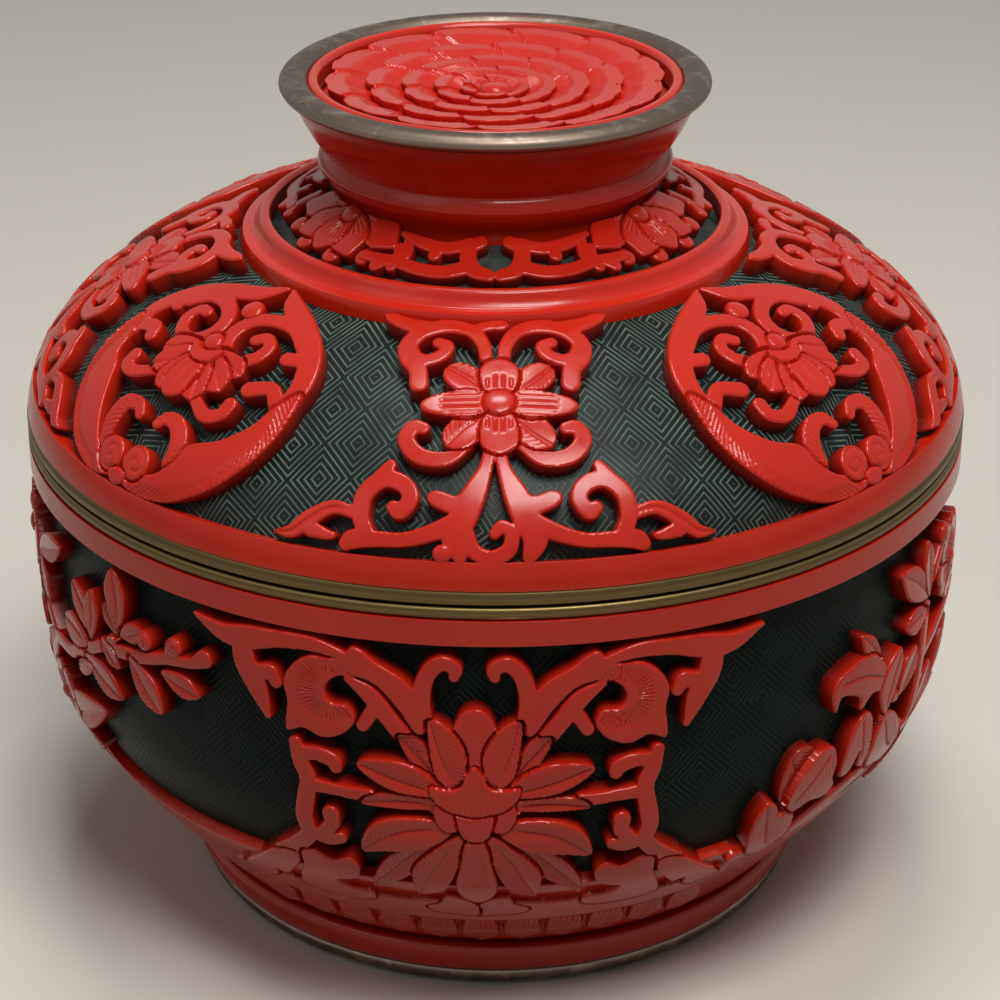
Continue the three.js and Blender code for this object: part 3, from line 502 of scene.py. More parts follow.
def carve(name, drawing, place, bearing, body, node, depth=None, mirror=False):
    """Makes a closed piece from a drawing: its top, its sides down to the ground and its
    underside, folded round the wall. The sides spread a little towards the ground."""
    depth = depth or settings().carving.depth / MM
    cells = cells_inside(drawing)
    wide = np.pad(cells, 1)
    touching = [wide[:-1, :-1], wide[:-1, 1:], wide[1:, :-1], wide[1:, 1:]]
    used = np.logical_or.reduce(touching)
    rim = used & ~np.logical_and.reduce(touching)
    gy, gx = np.gradient(drawing.edge, drawing.step)
    size = np.maximum(np.hypot(gx, gy), 0.3)
    move = np.clip(-drawing.edge / size, -0.7 * drawing.step, 0.7 * drawing.step) * rim
    x = drawing.x + move * gx / size
    y = drawing.y + move * gy / size
    z = drawing.top + (drawing.drop(drawing.edge) - drawing.bevel) * rim
    z = np.clip(z, -depth + 0.3, 1.0)
    core = used & ~rim
    order, rim_order, core_order = numbered(used), numbered(rim), numbered(core)
    spread, levels = 0.12, [0.06, 0.35, 0.75, 1.0]
    out_x, out_y = (gx / size)[rim], (gy / size)[rim]
    xs, ys, zs = [x[used]], [y[used]], [z[used]]
    for share in levels:
        xs.append(x[rim] + out_x * spread * share)
        ys.append(y[rim] + out_y * spread * share)
        zs.append(z[rim] + (-depth - z[rim]) * share)
    xs.append(x[core])
    ys.append(y[core])
    zs.append(np.full(core.sum(), -depth))
    tops, rims = used.sum(), rim.sum()
    floor = np.where(core, core_order + tops + rims * len(levels),
                     rim_order + tops + rims * (len(levels) - 1))
    i, j = np.nonzero(cells)
    corners = [(i, j), (i, j + 1), (i + 1, j + 1), (i + 1, j)]
    faces = [np.stack([order[c] for c in reversed(corners)], 1),
             np.stack([floor[c] for c in corners], 1)]
    beside = [wide[:-2, 1:-1], wide[1:-1, 2:], wide[2:, 1:-1], wide[1:-1, :-2]]
    for side, neighbour in enumerate(beside):
        open_side = ~neighbour[i, j]
        a = tuple(v[open_side] for v in corners[side])
        b = tuple(v[open_side] for v in corners[(side + 1) % 4])
        rings = [(order[a], order[b])] + [
            (tops + rims * n + rim_order[a], tops + rims * n + rim_order[b])
            for n in range(len(levels))
        ]
        for (a0, b0), (a1, b1) in zip(rings, rings[1:]):
            faces.append(np.stack([a0, b0, b1, a1], 1))
    xs = np.concatenate(xs) * (-1 if mirror else 1)
    zs = np.concatenate(zs)
    points = place(xs, np.concatenate(ys), bearing, zs)
    return build_piece(name, points, outward(points, faces), body, "red", node,
                       depth=-zs / depth)


# Finishes


def add_node(tree, kind, inputs=None, **properties):
    """Adds a node with its properties. An input takes a value, or a link from a socket."""
    node = tree.nodes.new(kind)
    for name, value in properties.items():
        setattr(node, name, value)
    for name, value in (inputs or {}).items():
        if isinstance(value, bpy.types.NodeSocket):
            tree.links.new(value, node.inputs[name])
        else:
            node.inputs[name].default_value = value
    return node


def noise(tree, scale, detail, **more):
    """Clouds from 0 to 1, which stay in place on the object."""
    place = tree.nodes.get("Texture Coordinate") or add_node(tree, "ShaderNodeTexCoord")
    return add_node(tree, "ShaderNodeTexNoise", {
        "Vector": place.outputs["Object"], "Scale": scale, "Detail": detail, **more,
    }).outputs["Fac"]


def ramp(tree, value, first, last, low=0.0, high=1.0, **properties):
    """Goes from first to last while a value goes from low to high."""
    return add_node(tree, "ShaderNodeMapRange", {
        "Value": value, "From Min": low, "From Max": high, "To Min": first, "To Max": last,
    }, **properties).outputs["Result"]


def work_out(tree, operation, first, second):
    """Works out a value from two others, each a number or a socket."""
    return add_node(tree, "ShaderNodeMath", {0: first, 1: second}, operation=operation).outputs[0]


def blend(tree, share, first, second):
    """Goes from one colour to another while a share goes from 0 to 1."""
    first, second = (c if isinstance(c, bpy.types.NodeSocket) else (*c, 1.0)
                     for c in (first, second))
    return add_node(tree, "ShaderNodeMix", {0: share, 6: first, 7: second},
                    data_type="RGBA").outputs[2]


def start_material(name, inputs):
    """A material with its shader's plain values set. Returns it with its nodes."""
    material = bpy.data.materials.new(name)
    material.use_nodes = True
    tree = material.node_tree
    for socket, value in inputs.items():
        tree.nodes["Principled BSDF"].inputs[socket].default_value = value
    return material, tree


def set_surface(tree, colour, roughness=None, relief=None, strength=0.0, height=0.0,
                invert=False):
    """Joins a colour, a roughness and a fine relief to the shader. height is in metres."""
    inputs = tree.nodes["Principled BSDF"].inputs
    tree.links.new(colour, inputs["Base Color"])
    if roughness:
        tree.links.new(roughness, inputs["Roughness"])
    if relief:
        bump = add_node(tree, "ShaderNodeBump", {
            "Height": relief, "Strength": strength, "Distance": height,
        }, invert=invert)
        tree.links.new(bump.outputs["Normal"], inputs["Normal"])


def carved_red_lacquer():
    """Cured red lacquer, built up in coats, cut with a gouge and polished. The eye gets a deep
    even red, a soft clear shine that breaks up on rubbed patches, faint gouge marks, and painted
    shade with old dirt in the cuts."""
    lacquer = settings().lacquer
    material, tree = start_material("carved_red_lacquer", {
        "IOR": 1.53, "Specular IOR Level": 0.33,
    })
    # clouds of colour about 12 mm wide, where coats differ
    coats = blend(tree, noise(tree, 85.0, 3.0), lacquer.red, lacquer.deep_red)
    # painted shade with some old dirt: the cuts darken from 0.3 mm down
    carving = add_node(tree, "ShaderNodeUVMap", uv_map="carving").outputs["UV"]
    down = add_node(tree, "ShaderNodeSeparateXYZ", {0: carving}).outputs["X"]
    colour = blend(tree, ramp(tree, down, 0.0, 0.85, 0.12, 0.8), coats, lacquer.cut_shade_and_grime)
    # rubbed and dull patches about 2 mm wide
    dull = ramp(tree, noise(tree, 480.0, 4.0), 0.15, 0.28, 0.3, 0.75)
    # gouge marks and grain about 0.5 mm wide
    grain = noise(tree, 1900.0, 3.0, Distortion=0.4)
    set_surface(tree, colour, dull, grain, 0.07, 0.00008)
    return material


def cut_green_ground(name="cut_green_lacquer", share=1.0, shine=0.2):
    """Dark green lacquer, cut by hand with nested squares. The eye gets squares 6 mm wide with
    grooves 0.66 mm apart, and pale dust that lies in the grooves. The grooves shade each other,
    so the shine is weak."""
    lacquer = settings().lacquer
    material, tree = start_material(name, {"IOR": 1.5, "Specular IOR Level": shine})
    # the drawing's unit is one square of 6 mm, with this many grooves across it
    grooves = 9.0
    drawing = add_node(tree, "ShaderNodeUVMap", uv_map="drawing").outputs["UV"]
    inside = add_node(tree, "ShaderNodeVectorMath", {0: drawing}, operation="FRACTION")
    middle = add_node(tree, "ShaderNodeVectorMath", {0: inside.outputs[0], 1: (0.5, 0.5, 0.0)},
                      operation="SUBTRACT")
    away = add_node(tree, "ShaderNodeVectorMath", {0: middle.outputs[0]}, operation="ABSOLUTE")
    parts = add_node(tree, "ShaderNodeSeparateXYZ", {0: away.outputs[0]})
    square = work_out(tree, "MAXIMUM", parts.outputs["X"], parts.outputs["Y"])
    wave = work_out(tree, "PINGPONG", work_out(tree, "MULTIPLY", square, grooves), 0.5)
    groove = ramp(tree, wave, 1.0, 0.0, 0.1, 0.24, interpolation_type="SMOOTHSTEP")
    # the dust is thinner in patches about 4 mm wide
    held = ramp(tree, noise(tree, 260.0, 4.0), share * 0.3, share, 0.32, 0.68)
    dust = work_out(tree, "MULTIPLY", groove, held)
    set_surface(tree, blend(tree, dust, lacquer.green, lacquer.dust),
                ramp(tree, dust, 0.38, 0.8), groove, 0.9, 0.00018, invert=True)
    return material


def green_ground_painted_shade():
    """The same lacquer on the bowl's steep wall with much less pale dust: a darker copy that is painted
    shade for the wall.
    """
    return cut_green_ground("green_lacquer_painted_shade", 0.18, 0.05)


def plain_green_ground():
    """Dark green lacquer, left smooth under the collar's carving. The eye gets a near-black
    green with a dull film of dust."""
    lacquer = settings().lacquer
    material, tree = start_material("plain_green_lacquer", {
        "IOR": 1.5, "Specular IOR Level": 0.3,
    })
    patch = noise(tree, 420.0, 5.0)
    film = ramp(tree, patch, 0.0, 0.35, 0.4, 0.8)
    set_surface(tree, blend(tree, film, lacquer.green, lacquer.dust),
                ramp(tree, patch, 0.3, 0.75))
    return material


def black_lacquer():
    """Black lacquer, brushed on and polished. The eye gets a clear dark shine with faint
    brush waves."""
    lacquer = settings().lacquer
    material, tree = start_material("polished_black_lacquer", {
        "IOR": 1.53, "Coat Weight": 0.5, "Coat Roughness": 0.06,
    })
    cloud = noise(tree, 140.0, 3.0)
    set_surface(tree, blend(tree, cloud, lacquer.black, lacquer.thin_black),
                ramp(tree, cloud, 0.16, 0.34), cloud, 0.08, 0.0002)
    return material


def worn_metal(name, bright, share, roughness):
    """Metal with a brown skin that is rubbed off in patches and along its edges."""
    material, tree = start_material(name, {"Metallic": 1.0})
    # rubbed patches about 3 mm long, with ragged edges
    patch = noise(tree, 330.0, 6.0, Roughness=0.65, Distortion=0.6)
    edge = add_node(tree, "ShaderNodeNewGeometry").outputs["Pointiness"]
    bare = work_out(tree, "MAXIMUM", ramp(tree, edge, 0.0, 1.0, 0.5, 0.56),
                    ramp(tree, patch, 0.0, 1.0, 0.62 - share, 0.95 - share))
    # fine scratches about 0.3 mm wide
    scratch = noise(tree, 3200.0, 2.0)
    set_surface(tree, blend(tree, bare, settings().metal.brown, bright),
                ramp(tree, patch, roughness + 0.12, roughness - 0.08, 0.3, 0.7),
                scratch, 0.2, 0.00005)
    return material


def tarnished_brass():
    """Brass strip, soldered and filed, brown with age. The eye gets a yellow line where hands
    have rubbed the edge."""
    return worn_metal("tarnished_brass", settings().metal.brass, 0.02, 0.4)


def worn_bronze():
    """Bronze bead, cast and filed, dull with handling. The eye gets grey-brown metal with soft
    bright patches."""
    return worn_metal("worn_bronze", settings().metal.bronze, 0.2, 0.42)


def beaten_copper():
    """Copper sheet, raised with a hammer. The eye gets warm metal with brown patches."""
    return worn_metal("beaten_copper", settings().metal.copper, 0.25, 0.4)


MAKERS = {
    "red": carved_red_lacquer, "ground": cut_green_ground, "ground with painted shade": green_ground_painted_shade,
    "plain ground": plain_green_ground, "black": black_lacquer, "brass": tarnished_brass,
    "bronze": worn_bronze, "copper": beaten_copper,
}
finished = {}


def finish(kind):
    """The material of a kind, made when it is first wanted."""
    if kind not in finished:
        finished[kind] = MAKERS[kind]()
    return finished[kind]


# Turned pieces


def wall_skin(wall, start, end, outer, radius=0.35):
    """Closed profile of a band on a wall from the depth outer on, with softened outer edges."""
    outside = wall.layer(start, end, outer)
    inside = wall.layer(start, end, BAND_DEPTH)[::-1]
    corners = soften([outside[0], outside[1], outside[-2], outside[-1], inside[0], inside[-1]],
                     radius)
    first, last = corners[:CORNER_POINTS], corners[3 * CORNER_POINTS:4 * CORNER_POINTS]
    return np.vstack([first, outside[2:-2], last, inside])


def make_metal_rims():
    """Brass rims of the mouths, the lip that holds the lid in place, and the metal rims of the
    foot and the knob."""
    mouth, gap = SEAM_RADIUS - 5.2, 0.02
    turned_piece("bowl_rim_brass", soften([
        (mouth, BOWL_EDGE_HEIGHT + gap), (59.75, BOWL_EDGE_HEIGHT + gap),
        (60.05, BOWL_MOUTH_HEIGHT - 0.7), (59.85, BOWL_MOUTH_HEIGHT), (mouth, BOWL_MOUTH_HEIGHT),
    ], 0.35), "bowl", "brass", "bowl_mouth_rim")
    turned_piece("lid_rim_brass", soften([
        (mouth, LID_FOOT_HEIGHT), (59.8, LID_FOOT_HEIGHT), (60.05, LID_FOOT_HEIGHT + 0.9),
        (59.7, LID_EDGE_HEIGHT - gap), (mouth, LID_EDGE_HEIGHT - gap),
    ], 0.35), "lid", "brass", "lid_mouth_rim")
    lip = mouth - 0.5
    turned_piece("bowl_lip_brass", soften([
        (lip, 57.75), (lip, 67.25), (lip - 0.4, 68.15), (lip - 0.8, 68.15), (lip - 0.8, 57.75),
    ], 0.2), "bowl", "brass", "bowl_locating_lip")
    turned_piece("foot_rim_bronze", soften([
        (37.3, 0.0), (38.7, 0.0), (39.9, 0.7), (40.5, 1.7), (40.4, 2.7), (37.3, 2.7),
    ], 0.6), "bowl", "bronze", "bowl_foot_rim")
    sweep = np.linspace(0, TURN, 24, endpoint=False)
    (middle, height), half_width, half_height = (24.9, 106.9), 1.77, 1.1
    turned_piece("knob_bead_bronze", np.stack([middle + half_width * np.cos(sweep),
                                               height + half_height * np.sin(sweep)], 1),
                 "lid", "bronze", "knob_rim_bead")


def make_red_bands():
    """Smooth red bands along the rims, at the base of the bowl and on its foot."""
    edge = LID.travel_of_height(LID_EDGE_HEIGHT)
    start = LID.travel_of_radius(LID_BAND_RADIUS)
    turned_piece("lid_band_red", wall_skin(LID, start, edge, 0.0),
                 "lid", "red", "lid_edge_band")
    top, bottom = BOWL.travel[0], BOWL.travel_of_height(BAND_BOTTOM)
    turned_piece("bowl_band_red", wall_skin(BOWL, top, bottom, 0.0, 0.25),
                 "bowl", "red", "bowl_rim_band")
    base = BOWL.travel_of_height(BASE_BAND_TOP)
    turned_piece("bowl_base_red", wall_skin(BOWL, base, BOWL.travel[-1], 0.8, 0.25),
                 "bowl", "red", "bowl_base_band")
    turned_piece("foot_moulding_red", soften([
        (38.4, 2.8), (40.6, 2.8), (41.4, 4.2), (41.9, 5.8), (41.9, 6.7), (41.2, 7.35),
        (38.4, 7.35),
    ], 0.7), "bowl", "red", "bowl_foot_moulding")


def make_inside():
    """Copper bodies and their black lacquer, seen when the lid is off or from below."""
    floor, under = 9.2, 1.2
    shell_out, shell_in, lining_out, lining_in = 3.6, 4.6, 4.7, 5.2
    top, bottom = BOWL.travel[0], BOWL.travel[-1]
    turned_piece("bowl_body_copper", np.vstack([
        (0, floor), (37.3, floor), (37.3, 2.8), (38.3, 2.8), (38.3, floor),
        BOWL.layer(top, bottom, shell_out)[::-1], BOWL.layer(top, bottom, shell_in),
        (0, floor + under),
    ]), "bowl", "copper", "bowl_shell")
    turned_piece("bowl_lining_black", np.vstack([
        (0, floor + under + 0.1), BOWL.layer(top, bottom, lining_out)[::-1],
        BOWL.layer(top, bottom, lining_in), (0, floor + under + 0.6),
    ]), "bowl", "black", "bowl_lining")
    low, high, reach, middle = 8.3, 9.1, 37.1, 30
    side = soften([(reach, low), (reach, high), (middle, high), (middle, low)], 0.2)
    turned_piece("bowl_underside_black", np.vstack([
        (0, low), side[:2 * CORNER_POINTS], (0, high),
    ]), "bowl", "black", "bowl_underside_lacquer")
    flat_radius = 4.0
    start, edge = LID.travel_of_radius(flat_radius), LID.travel_of_height(LID_EDGE_HEIGHT)
    for name, kind, node, outer, inner in (
        ("lid_body_copper", "copper", "lid_shell", shell_out, shell_in),
        ("lid_lining_black", "black", "lid_lining", lining_out, lining_in),
    ):
        crown = SEAM_HEIGHT + DOME_RISE
        turned_piece(name, np.vstack([
            (0, crown - outer), LID.layer(start, edge, outer), LID.layer(start, edge, inner)[::-1],
            (0, crown - inner),
        ]), "lid", kind, node)


def ground_piece(name, wall, start, end, place_uv, body, kind, node):
    """The green ground: a skin of the wall that holds the drawing of its nested squares."""
    outer = settings().carving.depth / MM
    inner = outer + GROUND_THICKNESS
    outside, inside = wall.layer(start, end, outer, 60), wall.layer(start, end, inner, 60)[::-1]
    mesh = turned_piece(name, np.vstack([outside, inside]), body, kind, node).data
    loops = np.empty(len(mesh.loops), np.int32)
    mesh.loops.foreach_get("vertex_index", loops)
    points = np.empty(len(mesh.vertices) * 3, np.float32)
    mesh.vertices.foreach_get("co", points)
    points = points.reshape(-1, 3) / MM
    turn = np.arctan2(points[:, 0], -points[:, 1])
    corner = turn[loops].reshape(-1, 4)
    # all four corners of a face are counted from the same side of the back seam
    corner = corner + TURN * (corner < corner.max(1)[:, None] - math.pi)
    travel = np.interp(-points[:, 2], -wall.z, wall.travel)[loops].reshape(-1, 4)
    layer = mesh.uv_layers.new(name="drawing")
    layer.data.foreach_set("uv", place_uv(corner, travel).astype(np.float32).ravel())


def make_grounds():
    """Green grounds under the carving, cut with nested squares."""
    spin, (middle_x, middle_y) = math.radians(33), (17.2, 51.2)

    def lid_uv(turn, travel):
        """Each quarter has its own drawing, mirrored about its flower panel, with the middle of
        a square halfway to the medallion."""
        middle = np.round(turn.mean(1) / (TURN / 4)) * TURN / 4
        reach = LID_TRUE_RADIUS * np.exp(travel - LID.travel_of_radius(LID_TRUE_RADIUS))
        x = reach * np.sin(turn - middle[:, None])
        x = np.where(x.mean(1)[:, None] < 0, -x, x)
        y = reach * np.cos(turn - middle[:, None])
        x, y = x - middle_x, y - middle_y
        a = x * math.cos(spin) + y * math.sin(spin)
        b = y * math.cos(spin) - x * math.sin(spin)
        return np.stack([a, b], -1) / SQUARE + 0.5

    def bowl_uv(turn, travel):
        """One drawing goes round the bowl in a whole number of squares, corner to corner."""
        across = turn * SQUARES_ROUND_BOWL / TURN
        down = (travel - BOWL.travel_of_height(BAND_BOTTOM)) * SQUARES_ROUND_BOWL / TURN
        return np.stack([across + down, across - down], -1)

    start, edge = LID.travel_of_radius(LID_GROUND_RADIUS), LID.travel_of_height(LID_EDGE_HEIGHT)
    ground_piece("lid_ground_green", LID, start, edge, lid_uv, "lid", "ground", "lid_ground")
    # the bowl's ground takes the darker copy with less dust, painted shade
    ground_piece("bowl_ground_green", BOWL, BOWL.travel[0], BOWL.travel[-1], bowl_uv,
                 "bowl", "ground with painted shade", "bowl_ground")


def make_collar():
    """Moulded red ring round the knob, and the sloping green field inside it."""
    cove = smooth_line([(31.35, 88.45), (30.6, 88.6), (30.0, 89.25), (29.55, 90.15),
                        (29.0, 90.45), (28.5, 90.35), (28.25, 90.1)], 6)
    turned_piece("collar_ring_red", np.vstack([
        (32.05, 85.6), (32.05, 87.6), (31.75, 88.3), cove, (28.25, 85.6),
    ]), "lid", "red", "lid_collar_ring")
    fall = COLLAR_DEPTH * COLLAR_SLOPE / COLLAR_RUN
    under_knob = 0.95
    inner = COLLAR_INNER - under_knob
    turned_piece("collar_field_green", [
        (inner, 87.2), (COLLAR_OUTER, 86.0), (COLLAR_OUTER, COLLAR_OUTER_HEIGHT - fall),
        (inner, COLLAR_INNER_HEIGHT + under_knob * COLLAR_DROP / COLLAR_RUN - fall),
    ], "lid", "plain ground", "lid_collar_ground")


def make_knob():
    """Waisted and flared red knob, and the thin red ring inside its bead."""
    waist = smooth_line([
        (20.25, 92.3), (20.3, 94.4), (20.9, 95.3), (21.7, 96.1), (22.1, 97.2), (21.75, 98.2),
        (21.45, 98.75), (21.8, 99.4), (22.7, 100.7), (23.7, 102.4), (24.5, 104.1),
        (24.95, 105.6),
    ], 6)
    turned_piece("knob_red", np.vstack([
        (20.25, 87.2), waist, (23.2, 105.75), (23.2, 104.75), (18.95, 103.0), (18.95, 87.6),
    ]), "lid", "red", "knob_body")
    turned_piece("knob_ring_red", soften([
        (21.65, 104.8), (23.1, 104.8), (23.15, 107.2), (22.7, 107.6), (22.0, 107.5),
        (21.65, 106.9),
    ], 0.3), "lid", "red", "knob_disc_rim")


def make_flower_disc():
    """Disc of five rings of petals. Each lip stands over the root of the ring outside it."""
    columns = 990
    turn = np.arange(columns) * TURN / columns
    # radius of each lip, its count of petals, and how far round they start
    lips = [(20.9, 12, 0.2), (15.9, 11, 0.65), (11.6, 9, 0.1), (7.6, 7, 0.5), (4.3, 6, 0.1)]
    disc_radius, rim, hollow, seat, tip = 20.7, 107.2, 1.2, 104.8, 106.17
    wind, tilt, flat, grooves = 0.035, 0.14, 0.4, 13
    rows_r, rows_z = [], []

    def add(r, z):
        rows_r.append(np.broadcast_to(r, turn.shape).copy())
        rows_z.append(np.broadcast_to(z, turn.shape).copy())

    def petal_of(count, phase, radius):
        """Place across a petal, from -1 to 1. The petals wind a little round the disc."""
        p = ((turn - math.pi + wind * (disc_radius - radius)) / TURN * count + phase) % 1
        return p * 2 - 1

    def lip_radius(ring):
        radius, count, phase = lips[ring]
        p = petal_of(count, phase, radius)
        scallop = 0.75 * np.abs(p) ** 5 + 0.08 * np.cos(3 * math.pi * p) * (1 - p ** 4)
        return radius - scallop * (0.35 + radius / 20)

    def level(radius):
        """Height of the lips. The disc is a shallow bowl."""
        return rim - hollow * (1 - (radius / disc_radius) ** 2)

    add(lip_radius(0) - 0.5, seat)
    for ring, (radius, count, phase) in enumerate(lips):
        lip = lip_radius(ring)
        inner = lip_radius(ring + 1) - 0.3 if ring < len(lips) - 1 else np.full(columns, 2.1)
        p = petal_of(count, phase, radius)
        fall = 0.75 + 0.25 * radius / disc_radius
        top = level(radius) + tilt * p
        add(lip - 0.35, top - fall - 0.15)
        add(lip - 0.05, top - 0.35)
        for out, down in ((0.0, 0.1), (0.04, 0.03), (0.1, 0.0)):
            add(lip - out, top - down)
        for share in (0.04, 0.12, 0.24, 0.32, 0.4, 0.45, 0.53, 0.61, 0.7, 0.79, 0.88, 0.95, 1.0):
            r = lip - 0.1 + (inner - lip + 0.1) * share
            q = petal_of(count, phase, r)
            slope = fall * rise(share - flat, 1 - flat) ** 1.2
            groove = 0.17 * comb(q * math.pi * grooves) ** 2 * (
                rise(share - flat, 0.08) * rise(1 - np.abs(q), 0.12))
            add(r, level(r) + tilt * q - slope - groove)
    for r, z in ((1.95, 105.0), (1.85, 105.7), (1.4, 106.05), (0.7, 106.15)):
        add(r, z)
    turned_rows("knob_flower_red", np.array(rows_r), np.array(rows_z), (seat, tip), "lid", "red",
                "knob_flower_disc", angle=60)


# Grooves and petals. A function named marks gives the depth of grooves at any place


def comb(phase):
    """Waves from 0 to 1."""
    return 0.5 + 0.5 * np.cos(phase)


def rise(value, width):
    """Goes from 0 to 1 while a value goes from 0 to a width."""
    return np.clip(value / width, 0, 1)


def midrib(depth, slant_depth, pitch):
    """A line along the middle of a leaf and fine slanting cuts beside it."""
    def marks(share, across, along, beside):
        line = depth * np.exp(-(beside / 0.16) ** 2) * rise(share, 0.2)
        slants = comb((along + 1.1 * np.abs(beside)) / pitch * TURN)
        return line + slant_depth * slants ** 2 * rise(1 - share, 0.3)
    return marks


def feathers(pitch, depth, lean, side):
    """Slanting cuts along one edge of a leaf."""
    def marks(share, across, along, beside):
        slants = comb((along + lean * beside) / pitch * TURN)
        return depth * slants ** 2 * rise(side * across + 0.35, 0.3)
    return marks


def spiral(radius, depth, wind=0.9):
    """A groove that winds in to the middle of a disc."""
    def marks(ox, oy):
        reach = np.hypot(ox, oy)
        ring = (reach / radius * 1.6 - np.arctan2(oy, ox) / TURN * wind) % 1
        return depth * np.exp(-((ring - 0.5) / 0.13) ** 2) * (reach < radius * 0.9)
    return marks


def fan(count, depth, cx, cy, near, far):
    """Grooves that spread from a point, between two distances from it."""
    def marks(x, y):
        reach = np.hypot(x - cx, y - cy)
        spokes = comb(np.arctan2(y - cy, x - cx) * count)
        return depth * spokes ** 2 * (rise(reach - near, 0.4) * rise(far - reach, 0.3))
    return marks


def cuts(count, depth, cx, cy, near, far):
    """Straight cuts side by side along a petal that points away from a place."""
    width = 3.6

    def marks(x, y):
        ox, oy = np.abs(x - cx), np.abs(y - cy)
        along, beside = np.maximum(ox, oy), np.minimum(ox, oy) * np.sign((x - cx) * (y - cy))
        reach = far - 0.35 * beside ** 2
        lines = comb((beside / width * count + 0.5) * TURN)
        return depth * lines ** 3 * (rise(along - near, 0.4) * rise(reach - along, 0.5))
    return marks


def uprights(middle, pitch, depth, held):
    """Fine cuts down a petal. held says how much of them there is at each place."""
    def marks(x, y):
        return depth * comb((x - middle) / pitch * TURN) ** 2 * held(x, y)
    return marks


def hatch(line, depth=0.22, pitch=0.72, reach=2.6, middle=0.24, lean=0.8, both=False,
          hollow=0.0):
    """Fine slanting cuts that run from a line to one side of it or to both, the line itself
    and a hollow along it."""
    rib = smooth_line(line)

    def marks(x, y):
        best, along, side = np.full(x.shape, 99.0), np.zeros(x.shape), np.zeros(x.shape)
        walked = 0.0
        for a, b in zip(rib[:-1], rib[1:]):
            d = b - a
            span = np.hypot(*d)
            t = np.clip(((x - a[0]) * d[0] + (y - a[1]) * d[1]) / span ** 2, 0, 1)
            ox, oy = x - a[0] - t * d[0], y - a[1] - t * d[1]
            off = np.hypot(ox, oy)
            near = off < best
            best[near] = off[near]
            along[near] = (walked + t * span)[near]
            side[near] = (d[0] * oy - d[1] * ox)[near]
            walked += span
        cut = middle * np.exp(-(best / 0.15) ** 2) * rise(along, 2)
        cut = cut + hollow * np.exp(-(best / 1.1) ** 2)
        slants = comb((along + lean * best) / pitch * TURN)
        held = rise(best, 0.3) * (both | (side > 0))
        return cut + depth * slants ** 2 * held * rise(reach - best, 0.5)
    return marks


def petal(d, root, tip, width, level=0.0, marks=None, blunt=0.62, full=0.56):
    """A leaf or petal from its root to its tip. Its widest place is at the share blunt, and
    full says how round its tip is."""
    (x0, y0), (x1, y1) = root, tip
    dx, dy = x1 - x0, y1 - y0
    span = math.hypot(dx, dy)
    px, py = -dy / span * width / 2, dx / span * width / 2
    shares = [(0.0, 0.2), (blunt / 2, 0.8), (blunt, 1.0), (0.87, full), (1.0, 0.0),
              (0.87, -full), (blunt, -1.0), (blunt / 2, -0.8), (0.0, -0.2)]
    outline = [(x0 + dx * t + px * w, y0 + dy * t + py * w) for t, w in shares]
    bend = (x0 + dx * 0.5 + px * 0.15, y0 + dy * 0.5 + py * 0.15)
    d.area(outline, level, marks or hatch([root, bend, tip], 0.1, middle=0.2, hollow=0.12),
           over=True)


# Panels of the lid

FLOWER_SCROLLS = [
    [(1, 38.6, 1.5), (1.3, 36.4, 1.7), (2.6, 34.2, 1.9), (5.2, 33.2, 2.2), (8, 33.8, 2.3),
     (9.7, 35.8, 2.3), (9.5, 38, 2.7), (8.7, 40, 2.2), (8.6, 42.2, 2.2)],
    [(9.3, 38, 2.1), (7.6, 38.6, 1.8), (5.9, 37.8, 1.8), (5.4, 36.5, 1.7), (6.3, 35.9, 1.6)],
    [(7.6, 33.4, 2.5), (9.8, 32.4, 2.1), (11.4, 31.2, 1.7), (12.3, 30.4, 0.5)],
    [(2.8, 51.2, 0.9), (5.5, 52.8, 1.9), (8.6, 52.2, 2.2), (10.1, 50, 2.1), (9.3, 48.3, 1.9),
     (8.2, 48.5, 1.7)],
    [(0.6, 52, 1.4), (1.2, 54.5, 1.8), (2.5, 57.5, 3), (3.8, 60.3, 3.4), (4.9, 62.6, 3.2),
     (4.3, 65, 1.8)],
    [(2.6, 57.8, 2.3), (4.6, 58.6, 2.3), (6.4, 57.9, 2.2), (7, 57.6, 1.9)],
    [(4.2, 60.6, 2.7), (7.5, 61.8, 2.2), (11, 62.4, 1.9), (14.5, 61.9, 2.1), (17.2, 61.5, 2.5),
     (18.3, 61.9, 1.9)],
    [(15.6, 61, 2.1), (16, 58.8, 2.2), (15.2, 56.2, 2.3), (12.9, 54.7, 2.3), (10.6, 55.6, 2.2),
     (9.9, 57.4, 2.1), (11.2, 58.9, 2.1), (12, 58.3, 1.7)],
    [(14, 55, 1.8), (12.8, 53.9, 1.8), (12, 53, 1.4)],
    [(22.5, 59.3, 2.1), (20.8, 60.3, 1.4), (19.9, 60.6, 1)],
]
FLOWER_LEAF = [
    (16.5, 58.5, 1.5), (19.3, 57.2, 1.8), (22.5, 58, 2.2), (25, 59, 1.8), (27.3, 58.5, 0.4),
]


